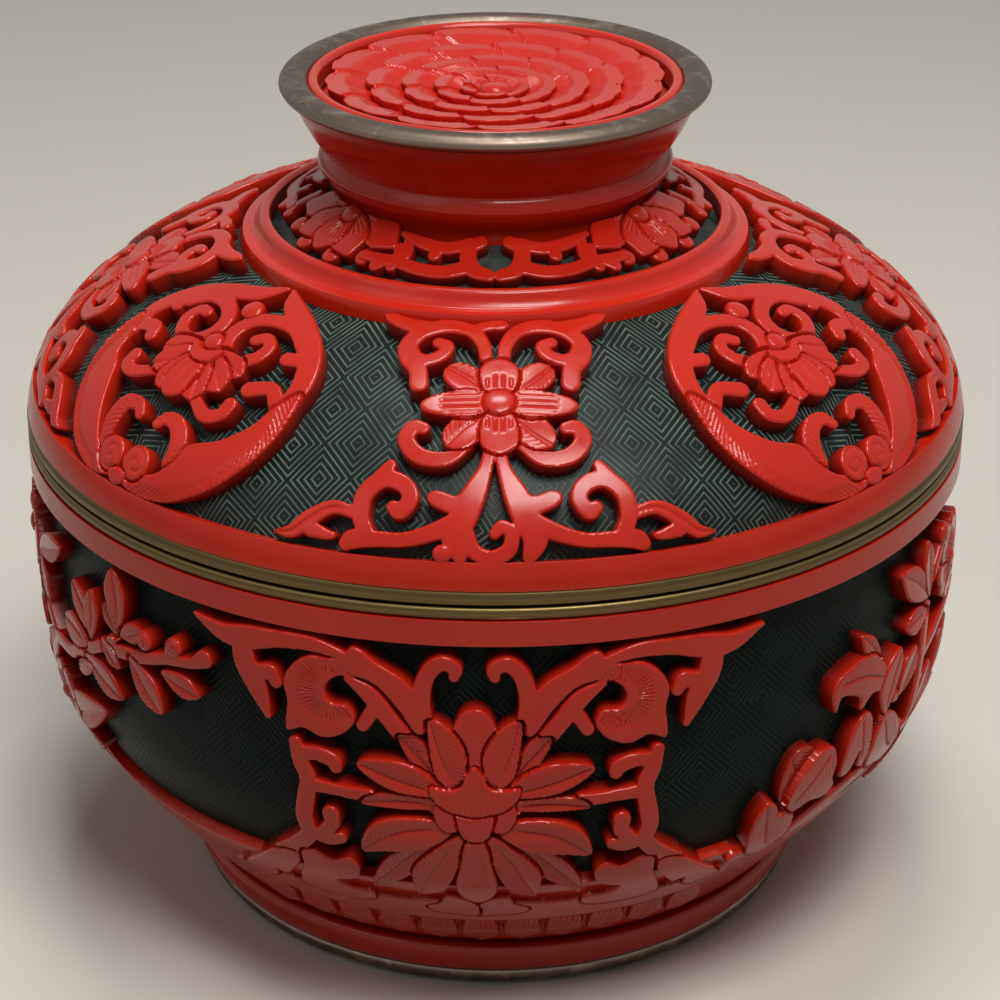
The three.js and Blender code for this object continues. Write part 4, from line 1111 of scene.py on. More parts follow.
def flower_drawing():
    """Lotus flower between two scrolls that end in leaves."""
    d = Drawing(-29.5, 29.5, 29.0, 67.5)
    for path in FLOWER_SCROLLS:
        for line in both_sides(path):
            d.stroke(line)
    for line in both_sides(FLOWER_LEAF):
        d.stroke(line, marks=midrib(0.16, 0.03, 0.8))
    d.stroke([(-2.6, 34.2, 1.6), (-1.0, 33.4, 1.6), (0.8, 33.2, 1.6)])
    d.stroke([(-3.6, 62.0, 2.2), (-2.6, 64.3, 2.0), (-0.4, 65.2, 2.0), (1.7, 64.2, 2.0),
              (2.0, 62.2, 1.8), (0.9, 61.3, 1.6), (0.0, 62.2, 1.4)])
    d.disc(-6.5, 64.5, 1.2, crown=0.2)
    x, y = 0.5, 45.4
    for side in (1, -1):
        petal(d, (x + side * 1.0, y - 1.2), (x + side * 6.0, y - 5.9), 4.0, -0.2, full=0.74)
        petal(d, (x + side * 1.0, y + 1.2), (x + side * 6.2, y + 5.6), 4.2, -0.2, full=0.74)
    for tip in (-6.6, 7.0):
        petal(d, (x, y), (x, y + tip), 4.5, 0.0, cuts(4, 0.17, x, y, 2.0, 4.4), 0.6, 0.84)
    for tip in (-9.0, 9.0):
        petal(d, (x, y), (x + tip, y), 4.0, 0.05, cuts(4, 0.17, x, y, 2.0, 7.0), 0.45, 0.6)
    d.disc(x, y, 1.75, 0.25, 0.2, over=True, cut=0.4)
    return d


MEDALLION_LEAVES = [
    # outline, outer edge
    ([(-13.5, 44.9), (-14.7, 48), (-15, 51.5), (-13.9, 56.2), (-10.7, 61.1), (-5.6, 64.8), (-0.2, 65.8),
      (3.4, 65), (1.4, 63.4), (-1.8, 62.2), (-4, 59.8), (-5, 57), (-8.4, 54.9), (-11, 51.6), (-12, 48)],
     [(-13.5, 44.9), (-15, 51.5), (-13.9, 56.2), (-10.7, 61.1), (-5.6, 64.8), (-0.2, 65.8)]),
    ([(18.3, 42.4), (20.4, 46), (20.8, 51.2), (19.3, 56.8), (16.2, 61.8), (11.2, 64.8), (6.6, 64.8),
      (8, 63), (10.2, 61.5), (12.4, 58), (14, 54.2), (15.2, 50.8), (16.8, 48.6), (17, 45)],
     [(18.3, 42.4), (20.8, 51.2), (19.3, 56.8), (16.2, 61.8), (11.2, 64.8)]),
]
MEDALLION_SCROLLS = [
    [(0.2, 32.8, 0.6), (-2.2, 35, 2.4), (-6.4, 37.2, 2.6), (-10.2, 40, 2.5), (-12.4, 43.4, 2.5),
     (-13.2, 47, 2.2)],
    [(1.2, 32.8, 0.6), (4.2, 35, 2.3), (9.2, 36.2, 2.5), (13.6, 38.2, 2.5), (16.8, 41.4, 2.3),
     (17.8, 45, 2)],
    [(-8.6, 39.6, 1.8), (-5.6, 37.9, 1.8), (-2.4, 37.8, 1.9), (0.4, 39, 1.9), (1.5, 41.4, 1.9),
     (0.6, 44, 1.8), (-1.8, 45.1, 1.8), (-4.2, 43.9, 1.7), (-4.7, 41.7, 1.6), (-3.4, 40.6, 1.5),
     (-2.2, 41.4, 1.5)],
    [(12.6, 39.2, 1.8), (9.6, 37.6, 1.8), (6.6, 38, 1.9), (4.4, 40, 1.9), (4.3, 42.6, 1.8),
     (6.2, 44.4, 1.8), (8.8, 44, 1.7), (10.2, 41.8, 1.6), (9.4, 40, 1.5), (8.1, 40.1, 1.5)],
    [(-12, 43.4, 1.8), (-10.4, 41.4, 1.7), (-8.2, 41.9, 1.9)],
    [(-12.2, 48, 1.8), (-9.8, 46.3, 1.8), (-7.2, 47.6, 2)],
    [(16.6, 41.6, 1.6), (14.8, 39.9, 1.7), (13.6, 40.3, 1.6)],
    [(17.6, 46, 1.8), (16.4, 44.4, 1.8), (14, 44.3, 1.9), (13.3, 45.6, 1.7)],
    [(-6.4, 50.4, 1.8), (-6.2, 52, 1.7), (-4.2, 53, 1.7), (-1.6, 51.8, 1.4)],
    [(13.2, 48.8, 1.8), (13.3, 50.4, 1.7), (11, 51, 1.7), (7.4, 50, 1.4)],
    [(2, 42, 1), (2.6, 44, 1.6), (3, 46, 1.6)],
]
MEDALLION_CURLS = [
    [(-3.4, 60.4, 2), (-3.2, 57.6, 2.6), (-1.6, 55.6, 2.4), (0.6, 55.2, 1.9), (1.7, 56.3, 1.6)],
    [(9.6, 60.6, 2), (9.7, 57.4, 2.6), (8.8, 55.2, 2.4), (6.6, 54.9, 1.9), (5.4, 56, 1.6)],
]


def medallion_drawing():
    """Peach-shaped medallion of feathered leaves round a half flower. It leans to the left."""
    d = Drawing(-17.5, 23.0, 31.0, 67.0)
    for path in MEDALLION_SCROLLS:
        d.stroke([(x, y, width * 1.12) for x, y, width in path])
    for path in MEDALLION_CURLS:
        d.stroke(path, -0.05, marks=feathers(0.8, 0.12, 0.6, -1))
    for outline, edge in MEDALLION_LEAVES:
        d.area(outline, 0.0, hatch(edge, 0.2, 0.85, 1.9, middle=0.0, lean=1.2, both=True),
               over=True, cut=0.35)
    x, y = 2.7, 45.2
    for side in (1, -1):
        petal(d, (x, y), (x + side * 7.2, y + 1.2), 3.6, -0.1, full=0.8)
        petal(d, (x, y), (x + side * 6.4, y + 4.2), 3.8, 0.0, full=0.8)
        petal(d, (x, y), (x + side * 3.4, y + 6.8), 3.6, -0.05, full=0.85)
    petal(d, (x, y), (x + 0.6, y + 7.6), 4.4, 0.05, cuts(2, 0.12, x, y, 2.5, 6.0), full=0.85)
    d.area([(x - 2.6, y - 0.6), (x, y + 0.1), (x + 2.6, y - 0.9), (x + 1.8, y + 1.3),
            (x, y + 1.9), (x - 1.8, y + 1.4)], 0.15, over=True, cut=0.4)
    d.disc(2.9, 43.8, 1.3, 0.0, 0.25, over=True, cut=0.4)
    d.disc(2.4, 37.6, 1.5, -0.1, 0.3, over=True, cut=0.4)
    for x, wind in ((1.9, 1), (7.0, -1)):
        d.disc(x, 61.9, 2.35, 0.0, 0.05, spiral(2.35, 0.14, wind), over=True, cut=0.4)
    d.area([(3.0, 63.9), (4.6, 63.3), (6.4, 63.9), (5.8, 65.3), (4.4, 65.6), (3.2, 65.1)], 0.05,
           over=True, cut=0.3)
    return d


# Panels of the bowl

PALMETTE = [
    (13.8, 1.2), (15.8, 2.9), (19.2, 3.2), (21.6, 5), (22.6, 7.2), (22.2, 9.6), (22.4, 13.4),
    (20.2, 12.8), (17.8, 13.6), (15.2, 12.6), (13.8, 10.6), (14.6, 8.9), (16.6, 8.8), (17.4, 7.4),
    (16.6, 5.8), (14.6, 5), (11.6, 5.6), (8.9, 8.4), (6.6, 11.6), (5, 10.4), (5.8, 7.6), (8, 4.8),
    (11, 3),
]
LOTUS_SCROLLS = [
    [(5.6, 10, 1.8), (6.1, 7, 2.2), (5.4, 4, 2), (3.8, 2.4, 1.9), (2.2, 3, 1.7), (2.3, 4, 1.3)],
    [(14.6, 5.4, 1), (12, 7.2, 2.2), (9.8, 10, 2.2), (8, 12.4, 2.2), (7.4, 14, 1.6)],
    [(11.6, 9, 1.8), (12.9, 11.2, 1.6)],
    [(15.5, 2.4, 1.2), (19, 1.7, 1.9), (23, 1.9, 2.2), (27, 2.6, 3), (30.5, 2.9, 2.4),
     (34.6, 1.6, 0.5)],
    [(28, 3.4, 2.8), (27.6, 6, 3), (26.2, 8.6, 2.8), (24.8, 12.2, 0.9)],
    [(26.4, 7.2, 2.4), (24.4, 6.4, 1.9), (23.6, 7.6, 1.6)],
    [(21.4, 15, 1.6), (20.8, 17.4, 2.2), (20, 19.8, 2.2), (20.4, 22.4, 2.3), (20.9, 25.4, 2.3),
     (20.6, 28, 2.3), (22.2, 30.4, 2.4), (25.4, 33.4, 2.6)],
    [(12.4, 20.8, 1.9), (16, 20.6, 1.6), (20, 20.4, 1.9)],
    [(20.9, 16.4, 1.9), (18.8, 16, 1.9), (16.8, 16.6, 2), (16.4, 17.4, 1.7)],
    [(20.6, 27.8, 2.2), (18.2, 28.4, 2.2), (16.6, 28, 1.8)],
    [(18.8, 27.6, 1.8), (17.4, 25.8, 2), (17.4, 24.2, 2.2)],
]
LOTUS_PETALS = [
    # outline, middle line, level
    ([(13.7, 38.4), (13.2, 35.2), (11.6, 31.8), (9, 29), (5.4, 26.6), (3.6, 27), (5.4, 30.4), (8, 33.6),
      (10.8, 36.4)],
     [(4.4, 26.6), (8.6, 31), (13.4, 37.6)], -0.3),
    ([(8.9, 12.1), (6.5, 12.2), (4.9, 15.2), (4, 18.2), (6.2, 17), (8, 14.8)],
     [(4.2, 18), (6.2, 15.4), (8.6, 12.4)], -0.25),
    ([(13.4, 22.3), (12.6, 20.7), (9.6, 20.2), (4.6, 20.6), (4.4, 22), (9, 22.3)],
     [(4.6, 21.4), (9, 21.3), (13.2, 22)], -0.2),
    ([(5.3, 9.7), (3.2, 10.4), (1.5, 12.6), (0.9, 14.8), (1.4, 17.4), (3.4, 18.8), (4.6, 17),
      (5.1, 14.5), (5.4, 12)],
     [(2.6, 18), (4, 14.6), (5.1, 10.2)], 0),
    ([(13.9, 16.8), (12.6, 15.7), (9, 15.5), (6, 16.6), (3.6, 18.8), (4, 20.1), (6.5, 20.1),
      (9.4, 19.7), (12, 18.5)],
     [(4, 19.6), (8.6, 18.4), (13.5, 16.6)], 0),
    ([(14, 29.9), (13.6, 27), (11.9, 24.6), (8.7, 23.4), (4.7, 23.5), (2.8, 25), (4.4, 26.9),
      (7.4, 28.6), (11, 29.2)],
     [(4, 24.6), (9.4, 26), (13.7, 29.4)], 0),
    ([(7.6, 38.6), (8.1, 35.5), (7.8, 32.2), (5.6, 28.8), (2.6, 26), (1.3, 26.6), (1.8, 30), (3, 34),
      (4.8, 37.2)],
     [(2.2, 26.8), (4.8, 31.6), (7.3, 38)], 0),
]
LOTUS_LEAVES = [
    [(14.2, 40), (17.4, 39.4), (18.6, 37.6), (16.8, 36.8), (15.2, 35.4), (14.9, 33), (16.2, 31.8),
     (18.4, 32.8), (20.6, 31.4), (22.4, 32), (22.8, 35), (24.2, 38.4), (24.6, 42.2), (19, 43.4),
     (14.6, 42.6)],
    [(23.2, 32.8), (25.4, 32.6), (28, 34.4), (31.2, 37.8), (34.4, 41.2), (31, 43), (28.8, 41.6),
     (28.4, 39.4), (26.6, 39.8), (24.8, 37.4), (23.4, 35.2)],
    [(0, 41.6), (1.6, 39.4), (4, 38.6), (5, 40.8), (7, 42.6), (6, 44.6), (2.4, 45.4), (0, 45.6)],
]


def lotus_drawing():
    """Open lotus under an arch of scrolls, on a hanging border of leaves."""
    d = Drawing(-39, 39, -0.6, 62.0)
    for path in LOTUS_SCROLLS:
        for line in both_sides(path):
            d.stroke(line)
    for side in (1, -1):
        d.area(mirrored(PALMETTE, side), 0.0, fan(44, 0.2, side * 16.8, 7.4, 1.7, 4.2))
    # the border below: hanging petals in two rows, a swag and leaves
    for row, level, low, width in ((1, -0.6, 60.6, 4.0), (0, -0.05, 59.4, 5.8)):
        for n in range(-10, 11):
            if n % 2 == row:
                x = n * 3.3
                petal(d, (x * 0.9, 42.0 - abs(n) * 0.16), (x * 1.04, low - abs(n) * 0.29), width,
                      level, uprights(x, width / 7, 0.2, lambda _, y: rise(54.0 - y, 0.8)), 0.8,
                      0.78)
    d.area(whole([(0, 39.6), (9, 41), (18, 40.4), (26, 41.4), (33, 39.6), (36, 42), (30, 45.6),
                  (20, 47.2), (10, 47.8), (0, 48)]), -0.05, over=True, cut=0.4)
    for side in (1, -1):
        for outline in LOTUS_LEAVES:
            d.area(mirrored(outline, side), 0.0, over=True, cut=0.8)
    d.stroke([(0, 10.3, 4.4), (0, 11.3, 4.9), (0, 13.6, 3.7), (0, 16.0, 2.2), (0, 18.0, 1.0)],
             -0.25, 0.15, over=True)
    for outline, rib, level in LOTUS_PETALS:
        for side in (1, -1):
            d.area(mirrored(outline, side), level, hatch(mirrored(rib, side), 0.12, hollow=0.22),
                   over=True, cut=0.9)
    d.area(whole([(0, 25.4), (1.4, 27.4), (1.9, 31), (2.6, 34.5), (2.2, 37.8), (0, 39.9)]), 0.1,
           fan(60, 0.22, 0.0, 20.0, 9.0, 15.0), over=True, cut=0.9)
    lotus_heart(d)
    return d


def lotus_heart(d):
    """The bud in the middle of the lotus: round lobes below and a pointed crown above, with
    fine upright cuts."""
    for side in (1, -1):
        d.area(mirrored([(1.8, 20.6), (4.4, 20.8), (4.8, 22.8), (3.6, 24.8), (1.8, 24.4)], side),
               0.1, over=True, cut=0.5)
    d.area(whole([(2, 21), (2.1, 23.6), (1.2, 26)]), 0.15, over=True, cut=0.5)
    lines = uprights(0, 0.62, 0.13, lambda x, y: rise(2.3 - np.abs(x), 0.3) * rise(y - 18.4, 0.4))
    d.area(whole([(0, 15.6), (1, 16.8), (1.7, 18.4), (3.2, 18.8), (5.2, 18.5), (5, 20),
                  (3.4, 21.6), (1.6, 22.2), (0, 22.5)]), 0.25, lines, over=True, cut=0.5)


def blossom(d, x, y, radius, turned):
    """An open blossom of five round petals with a raised eye and fine threads round it."""
    for n in range(5):
        angle = math.radians(turned + 360 * n / 5)
        c, s = math.cos(angle), math.sin(angle)
        outline = [(x + radius * (c * a - s * b), y + radius * (s * a + c * b)) for a, b in (
            (0.08, 0.0), (0.42, 0.36), (0.78, 0.5), (1.0, 0.26), (0.95, 0.0), (1.0, -0.26),
            (0.78, -0.5), (0.42, -0.36))]
        d.area(outline, 0.0, fan(36, 0.14, x, y, radius * 0.3, radius * 0.7), over=True)
    d.disc(x, y, radius * 0.24, 0.1, 0.4, over=True, cut=0.5)


LEFT_LEAVES = [
    # root, tip, width, level
    ((18.2, 8.6), (17.4, 0.9), 4, 0), ((18.4, 9.6), (22.6, 7.4), 2.8, -0.2),
    ((17.6, 9.8), (14.6, 6.6), 2.4, -0.25), ((12.2, 12.2), (6.6, 6.8), 3.8, -0.1),
    ((11.6, 12.6), (12.2, 5.8), 3.2, 0.05), ((10.2, 14.2), (3.4, 13.2), 4.2, 0),
    ((14.4, 11.4), (17.8, 14.4), 2.8, 0.05), ((9.8, 15.8), (17.8, 18.6), 4.2, 0),
    ((20.4, 11.6), (25.6, 17.6), 4.2, 0), ((26.2, 11.4), (32.2, 12.8), 3.2, 0),
    ((11, 17), (6, 19.4), 2.4, -0.2), ((-9, 33), (13.2, 22.4), 5.6, 0),
    ((-12, 37), (6, 32.4), 4.6, -0.15), ((-13, 39), (-1, 40.6), 4.4, -0.1),
    ((-6, 34), (-19.5, 42.6), 4.6, -0.1), ((-1, 18), (-9, 24.6), 4.4, -0.05),
    ((-8, 9), (3, 4.2), 3.8, 0), ((-9, 9.6), (-4, 15), 3.6, -0.1), ((-14, 16), (-22, 13), 3.8, 0),
    ((-15, 19), (-9.5, 21), 3.2, 0.05),
]
LEFT_TWIGS = [
    [(33.2, 7.4, 2.4), (31, 8.6, 1.5), (27, 9.4, 1.6), (23, 10.8, 1.6), (19, 11.6, 1.8),
     (14.5, 12.6, 1.7), (10.5, 14.6, 1.8), (5, 17.6, 1.8), (-1, 18.6, 1.8), (-7, 22, 1.9), (-12, 27, 2),
     (-17, 31, 2)],
    [(27.4, 9, 1.2), (28, 7.4, 1.9)],
    [(14, 12.8, 1.4), (16.6, 10.8, 1.4), (19, 8.6, 1.2)],
    [(-12, 27, 1.8), (-11, 32, 1.8), (-7, 35, 1.4)],
    [(-1, 18.6, 1.6), (-6, 14, 1.6), (-9.5, 9.6, 1.6), (-12, 6, 1.2)],
]
RIGHT_SHAPES = [
    # outline, middle line, level
    ([(-24.4, 17.8), (-25.2, 15.4), (-24.6, 13.6), (-22.6, 12.6), (-20, 12), (-17.4, 12.4),
      (-15.6, 13.8), (-13.8, 16.2), (-15, 18.4), (-17.2, 18), (-19.4, 19.4), (-19.8, 17.6),
      (-21.8, 16.4), (-23.6, 16)],
     [(-14, 17), (-19, 14.8), (-23.6, 14.2)], 0),
    ([(-15.2, 18.6), (-13.6, 15.6), (-10.8, 14.2), (-10.2, 17.2), (-11.6, 20.4), (-13.4, 22.6),
      (-14.6, 21)],
     [(-13.6, 22), (-12.6, 18.6), (-11, 15)], 0.05),
    ([(-34.6, 36.4), (-35.2, 31), (-34, 27.6), (-32.2, 28.6), (-31, 31.2), (-29.4, 30.2), (-28, 32.6),
      (-28, 36.4), (-30, 38.4), (-33, 38.4)],
     [(-30.6, 38), (-32.4, 33.6), (-33.8, 28.6)], 0),
    ([(-31.6, 27.6), (-31.2, 24), (-29.6, 21.8), (-27.4, 21.6), (-25.6, 24), (-28, 27), (-30.6, 29.4)],
     [(-27, 28), (-29, 25), (-30.4, 22.4)], -0.85),
    ([(-30.4, 29.4), (-29.8, 26.2), (-28, 23.8), (-26, 22.4), (-23.8, 22.8), (-22.8, 25.4),
      (-22.9, 27.6), (-22, 29.6), (-23.6, 31.2), (-26.2, 30.6), (-28.6, 31.4)],
     [(-29.8, 30), (-27, 26.8), (-24.4, 23.8)], 0),
    ([(-21, 28.8), (-20.7, 23.8), (-18.6, 20.8), (-16.4, 21.2), (-15.4, 25.2), (-15.2, 29.8),
      (-17, 29.2), (-17.8, 26.2), (-19, 29.2)],
     [(-16.4, 29), (-17.6, 24.6), (-18.2, 21.6)], -0.15),
    ([(-14.6, 30.4), (-14.8, 26.2), (-13.2, 22.8), (-10.2, 23.8), (-7.6, 27), (-5.4, 31), (-8.6, 32.6),
      (-11.8, 31.6)],
     [(-6.6, 31.4), (-10.4, 28.4), (-13, 23.8)], 0),
]
RIGHT_LEAVES = [
    # root, tip, width, level
    ((-15.6, 14), (-19.8, 9.2), 2.6, -0.1), ((-9.6, 21.6), (-5.2, 16.6), 4.4, -0.05),
    ((-3.4, 28), (1.5, 22), 4.2, 0), ((4, 25), (10.6, 19.8), 4.2, 0),
    ((8, 27), (16.4, 30.2), 4.2, -0.05), ((-3, 10.6), (-11.4, 4.4), 4.4, 0),
    ((-2.4, 11), (-3.6, 3), 3.4, -0.1), ((-3.4, 12.6), (-9.4, 12.6), 3.6, 0),
    ((14, 16), (22, 18.6), 3.8, 0), ((13, 15), (19, 8.6), 3.8, -0.05), ((20, 34), (29, 29.4), 4.2, 0),
    ((5, 33), (-4, 40.6), 4.4, 0), ((18, 38), (6, 42.6), 4.6, -0.05), ((22, 38), (17, 46), 4.6, 0),
]
RIGHT_TWIGS = [
    [(-36, 38, 2.2), (-30, 37.6, 2.2), (-23, 33.8, 2.4), (-14, 31, 2.4), (-6, 29.6, 2.2), (2, 27.6, 2),
     (10, 28.6, 1.8), (20, 34.6, 1.8), (26, 39, 1.4)],
    [(-12.6, 30, 1.8), (-13.4, 24, 1.7), (-13.6, 19, 1.6), (-11, 21.4, 1.4), (-8, 20, 1.2)],
    [(-4, 29, 1.8), (-3.4, 19, 1.8), (-3, 11, 1.6), (2, 5.6, 1.3)],
    [(-3.4, 19, 1.6), (6, 16.6, 1.6), (14, 15.6, 1.5)],
]


def twig_drawing(left, right, twigs, leaves, shapes, blossoms, buds):
    """Flowering twig: leaves in pairs, open blossoms and round buds."""
    d = Drawing(left, right, -0.5, 50.0)
    for path in twigs:
        d.stroke(path, -0.1, 0.1)
    for leaf in leaves:
        petal(d, *leaf)
    for outline, rib, level in shapes:
        d.area(outline, level, hatch(rib, 0.08, middle=0.26), over=True)
    for flower in blossoms:
        blossom(d, *flower)
    for x, y, radius in buds:
        d.disc(x, y, radius, 0.05, 0.3, spiral(radius, 0.2))
    return d


def left_spray_drawing():
    """The left flank's twig, with buds at its tip."""
    return twig_drawing(
        -34, 35.5, LEFT_TWIGS, LEFT_LEAVES, [],
        [(-15.5, 9.0, 5.6, 12), (-22.0, 20.5, 5.4, 40), (-27.0, 33.0, 6.4, 0),
         (-1.0, 26.4, 4.4, 30)],
        [(28.6, 7.2, 1.2), (23.4, 8.2, 1.3), (-12.4, 4.6, 1.5), (-16.6, 44.2, 1.6)])


def right_spray_drawing():
    """The right flank's twig. It lies lower, and its tip reaches the lotus."""
    return twig_drawing(
        -38, 33.5, RIGHT_TWIGS, RIGHT_LEAVES, RIGHT_SHAPES,
        [(6.5, 9.6, 5.4, 12), (24.0, 23.6, 5.4, 40), (13.6, 37.0, 5.2, 25)],
        [(2.4, 4.6, 1.5), (27.0, 40.0, 1.5)])


# Scrolls and flowers of the collar


def keep_in_collar(d):
    """Ends a drawing at the two edges of the collar's field."""
    near, far = 20.7, 27.9
    reach = np.hypot(d.x, d.y)
    d.edge = np.maximum(d.edge, np.maximum(reach - far, near - reach))
    return d


COLLAR_SCROLLS = [
    [(1.7, 21.8, 1.7), (2.9, 22.4, 1.9), (3.2, 24, 2.1), (2.4, 25.6, 2), (0.7, 26.3, 1.6)],
    [(2.9, 22, 1.7), (5.8, 22.2, 1.7), (8.6, 20.9, 1.6), (10.9, 18.9, 0.8)],
    [(6.6, 21.7, 1.3), (7.2, 22.9, 1.6)],
    [(2.8, 25, 2), (6, 25.4, 1.8), (9, 24.5, 1.7), (11.8, 22.7, 1.6), (13.8, 21.6, 1.5),
     (15.6, 20.4, 1.4)],
    [(12.6, 22.2, 1.3), (14.3, 22.4, 1.6)],
    [(11.6, 22.6, 1.2), (11.4, 20.8, 1.3)],
]


def collar_scroll_drawing():
    """Pair of flat scrolls that lean on each other."""
    d = Drawing(-17.5, 17.5, 14.0, 28.4, 0.13)
    for path in COLLAR_SCROLLS:
        for line in both_sides(path):
            d.stroke(line)
    return keep_in_collar(d)


def collar_flower_drawing():
    """Flower head seen from the side, with round petals and small tips between them."""
    d = Drawing(-13.0, 13.0, 16.5, 28.4, 0.13)
    heart = (0.0, 20.9)
    for side in (1, -1):
        for x, y, radius in ((2.9, 26.6, 1.2), (7.2, 24.8, 1.1)):
            d.disc(side * x, y, radius, -0.3, 0.15)
        for tip, width in (((9.7, 21.8), 4.2), ((5.4, 25.9), 4.4)):
            petal(d, heart, (side * tip[0], tip[1]), width, 0.0, fan(40, 0.14, *heart, 1.6, 4.4),
                  0.7)
        d.stroke([(side * 10.0, 20.0, 1.3), (side * 11.6, 21.6, 1.4), (side * 11.4, 23.6, 1.5)],
                 -0.1)
    petal(d, heart, (0.0, 27.2), 4.5, 0.05, fan(40, 0.14, *heart, 1.6, 4.6), 0.7)
    d.disc(0.0, 21.4, 1.3, 0.15, 0.3, over=True, cut=0.4)
    return keep_in_collar(d)


# Stage


def seen_ray(tree):
    """A socket that is 1 for rays on which the eye sees the floor or the background."""
    path = add_node(tree, "ShaderNodeLightPath")
    seen = path.outputs["Is Camera Ray"]
    for other in ("Is Transmission Ray", "Is Glossy Ray"):
        seen = work_out(tree, "MAXIMUM", seen, path.outputs[other])
    return seen


def make_floor():
    """Smooth pale board under the box and a plain pale background."""
    stage = settings().stage
    material, tree = start_material("pale_matt_board", {"Roughness": 0.75})
    set_surface(tree, blend(tree, seen_ray(tree), stage.bounce, stage.floor))
    mesh = bpy.data.meshes.new("floor")
    wide = 3.0
    mesh.from_pydata([(-wide, -wide, 0), (wide, -wide, 0), (wide, wide, 0), (-wide, wide, 0)],
                     [], [(0, 1, 2, 3)])
    mesh.materials.append(material)
    floor = bpy.data.objects.new("floor", mesh)
    bpy.context.scene.collection.objects.link(floor)


def make_lamp(name, watts, size, place, aim):
    """A flat lamp. Its size and places are in metres."""
    lamp = bpy.data.lights.new(name, "AREA")
    lamp.energy = watts
    lamp.shape = "RECTANGLE"
    lamp.size, lamp.size_y = size
    item = bpy.data.objects.new(name, lamp)
    item.location = place
    item.rotation_euler = (Vector(aim) - Vector(place)).to_track_quat("-Z", "Y").to_euler()
    bpy.context.scene.collection.objects.link(item)


def make_lights():
    """Soft box high in front, a small lamp overhead, a weak one lower, and an even pale sky."""
    stage = settings().stage
    make_lamp("key_softbox", stage.key, (0.34, 0.28), (0.12, -0.33, 0.75), (0, 0, 0.06))
    make_lamp("top_lamp", stage.glow, (0.2, 0.1), (0.0, 0.072, 0.72), (0, 0, 0.08))
    make_lamp("fill_softbox", stage.fill, (0.4, 0.4), (-0.45, -0.35, 0.5), (0, 0, 0.05))
    world = bpy.data.worlds.new("pale_room")
    world.use_nodes = True
    tree = world.node_tree
    back = tree.nodes["Background"]
    back.inputs["Color"].default_value = (1, 1, 1, 1)
    tree.links.new(ramp(tree, seen_ray(tree), stage.sky, stage.backdrop),
                   back.inputs["Strength"])
    bpy.context.scene.world = world


def make_camera():
    """Camera in front of the box, looking down at it."""
    camera = bpy.data.cameras.new("camera")
    camera.lens = settings().stage.lens
    camera.sensor_width = 36
    camera.dof.use_dof = False
    item = bpy.data.objects.new("camera", camera)
    # in metres and degrees, fitted to the photo
    item.location = (0.00058, -0.3386, 0.21236)
    item.rotation_euler = (math.radians(64.27), 0, 0)
    bpy.context.scene.collection.objects.link(item)
    bpy.context.scene.camera = item


# Operators


class INCENSE_OT_stage(bpy.types.Operator):
    """Makes the floor, the lamps and the camera"""

    bl_idname = "incense.stage"
    bl_label = "Stage"

    def execute(self, context):
        make_floor()
        make_lights()
        make_camera()
        context.scene.view_settings.view_transform = "Standard"
        return {"FINISHED"}


class INCENSE_OT_rims(bpy.types.Operator):
    """Makes the metal rims, the lip and the bead"""

    bl_idname = "incense.rims"
    bl_label = "Metal rims"

    def execute(self, context):
        make_metal_rims()
        return {"FINISHED"}


class INCENSE_OT_bands(bpy.types.Operator):
    """Makes the smooth red bands and the foot moulding"""

    bl_idname = "incense.bands"
    bl_label = "Red bands"

    def execute(self, context):
        make_red_bands()
        return {"FINISHED"}


class INCENSE_OT_inside(bpy.types.Operator):
    """Makes the copper bodies and their black linings"""

    bl_idname = "incense.inside"
    bl_label = "Inside"

    def execute(self, context):
        make_inside()
        return {"FINISHED"}


class INCENSE_OT_grounds(bpy.types.Operator):
    """Makes the green grounds under the carving"""

    bl_idname = "incense.grounds"
    bl_label = "Green grounds"

    def execute(self, context):
        make_grounds()
        return {"FINISHED"}


class INCENSE_OT_collar(bpy.types.Operator):
    """Makes the collar with its scrolls and flowers"""

    bl_idname = "incense.collar"
    bl_label = "Collar"

    def execute(self, context):
        make_collar()
        scrolls, flower = collar_scroll_drawing(), collar_flower_drawing()
        for n, bearing in enumerate(COLLAR_FLOWER_BEARINGS):
            carve(f"collar_scroll_red_{n + 1}", scrolls, collar_place, 120 * n, "lid",
                  f"collar_scrolls_{n + 1}", COLLAR_DEPTH)
            carve(f"collar_flower_red_{n + 1}", flower, collar_place, bearing, "lid",
                  f"collar_flower_{n + 1}", COLLAR_DEPTH)
        return {"FINISHED"}


class INCENSE_OT_knob(bpy.types.Operator):
    """Makes the knob and the carved flower in its top"""

    bl_idname = "incense.knob"
    bl_label = "Knob"

    def execute(self, context):
        make_knob()
        make_flower_disc()
        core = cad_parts["knob_core"]
        core.data.materials.clear()
        core.data.materials.append(finish("black"))
        return {"FINISHED"}


class INCENSE_OT_lid_carving(bpy.types.Operator):
    """Makes the flower panels and medallions of the lid"""

    bl_idname = "incense.lid_carving"
    bl_label = "Lid carving"

    def execute(self, context):
        flower, medallion = flower_drawing(), medallion_drawing()
        for n, side in enumerate(("front", "right", "back", "left")):
            carve(f"flower_{side}", flower, lid_place, 90 * n, "lid",
                  f"lid_flower_panel_{side}")
        for side, bearing, mirror in (("front_right", 45, False), ("back_right", 135, True),
                                      ("back_left", 225, False), ("front_left", 315, True)):
            carve(f"medallion_{side}", medallion, lid_place, bearing, "lid",
                  f"lid_medallion_{side}", mirror=mirror)
        return {"FINISHED"}


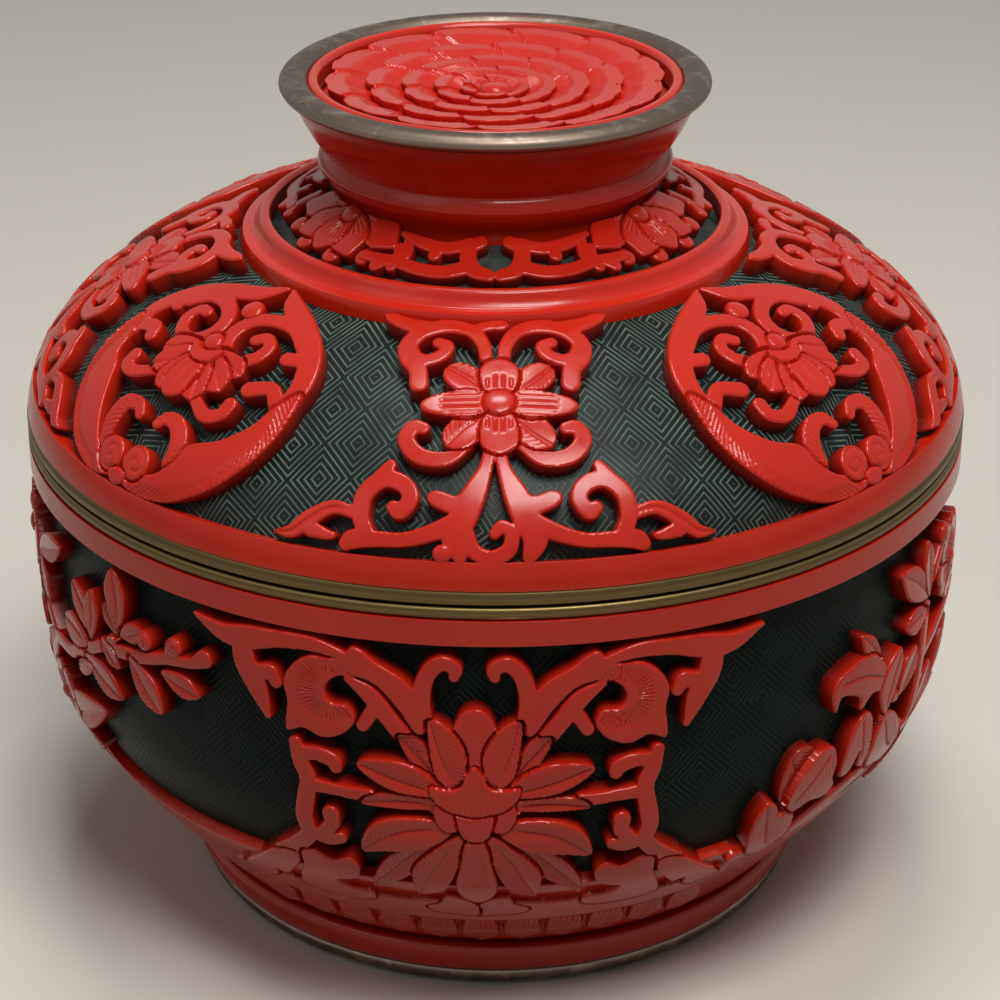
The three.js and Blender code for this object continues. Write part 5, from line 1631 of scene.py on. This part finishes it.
class INCENSE_OT_bowl_carving(bpy.types.Operator):
    """Makes the lotus panels and flower sprays of the bowl"""

    bl_idname = "incense.bowl_carving"
    bl_label = "Bowl carving"

    def execute(self, context):
        lotus = lotus_drawing()
        for side, bearing in (("front", LOTUS_BEARING), ("back", LOTUS_BEARING + 180)):
            carve(f"lotus_{side}", lotus, bowl_place, bearing, "bowl", f"bowl_lotus_panel_{side}")
        for side, spray, bearing in (("right", right_spray_drawing(), SPRAY_BEARING),
                                     ("left", left_spray_drawing(), -SPRAY_BEARING)):
            carve(f"spray_red_{side}", spray, bowl_place, bearing, "bowl", f"bowl_spray_{side}")
        return {"FINISHED"}


OPERATORS = [
    INCENSE_OT_rims, INCENSE_OT_bands, INCENSE_OT_inside, INCENSE_OT_grounds,
    INCENSE_OT_collar, INCENSE_OT_knob, INCENSE_OT_lid_carving, INCENSE_OT_bowl_carving,
    INCENSE_OT_stage,
]


class INCENSE_PT_panel(bpy.types.Panel):
    """Buttons that make the box, piece by piece"""

    bl_idname = "INCENSE_PT_panel"
    bl_label = "Incense Box"
    bl_space_type = "VIEW_3D"
    bl_region_type = "UI"
    bl_category = "Incense Box"

    def draw(self, context):
        for operator in OPERATORS:
            self.layout.operator(operator.bl_idname)
        for group in ("lacquer", "metal", "carving", "stage"):
            box = self.layout.box()
            values = getattr(context.scene.incense_box, group)
            for name in type(values).__annotations__:
                box.prop(values, name)


CLASSES = [
    LacquerSettings, MetalSettings, CarvingSettings, StageSettings, IncenseBoxSettings,
    *OPERATORS, INCENSE_PT_panel,
]


def register():
    for item in CLASSES:
        bpy.utils.register_class(item)
    bpy.types.Scene.incense_box = PointerProperty(type=IncenseBoxSettings)


def unregister():
    del bpy.types.Scene.incense_box
    for item in reversed(CLASSES):
        bpy.utils.unregister_class(item)


def main():
    register()
    for operator in OPERATORS:
        group, name = operator.bl_idname.split(".")
        if getattr(getattr(bpy.ops, group), name)() != {"FINISHED"}:
            raise RuntimeError(operator.bl_label + " wasn't made")


if __name__ == "__main__":
    main()
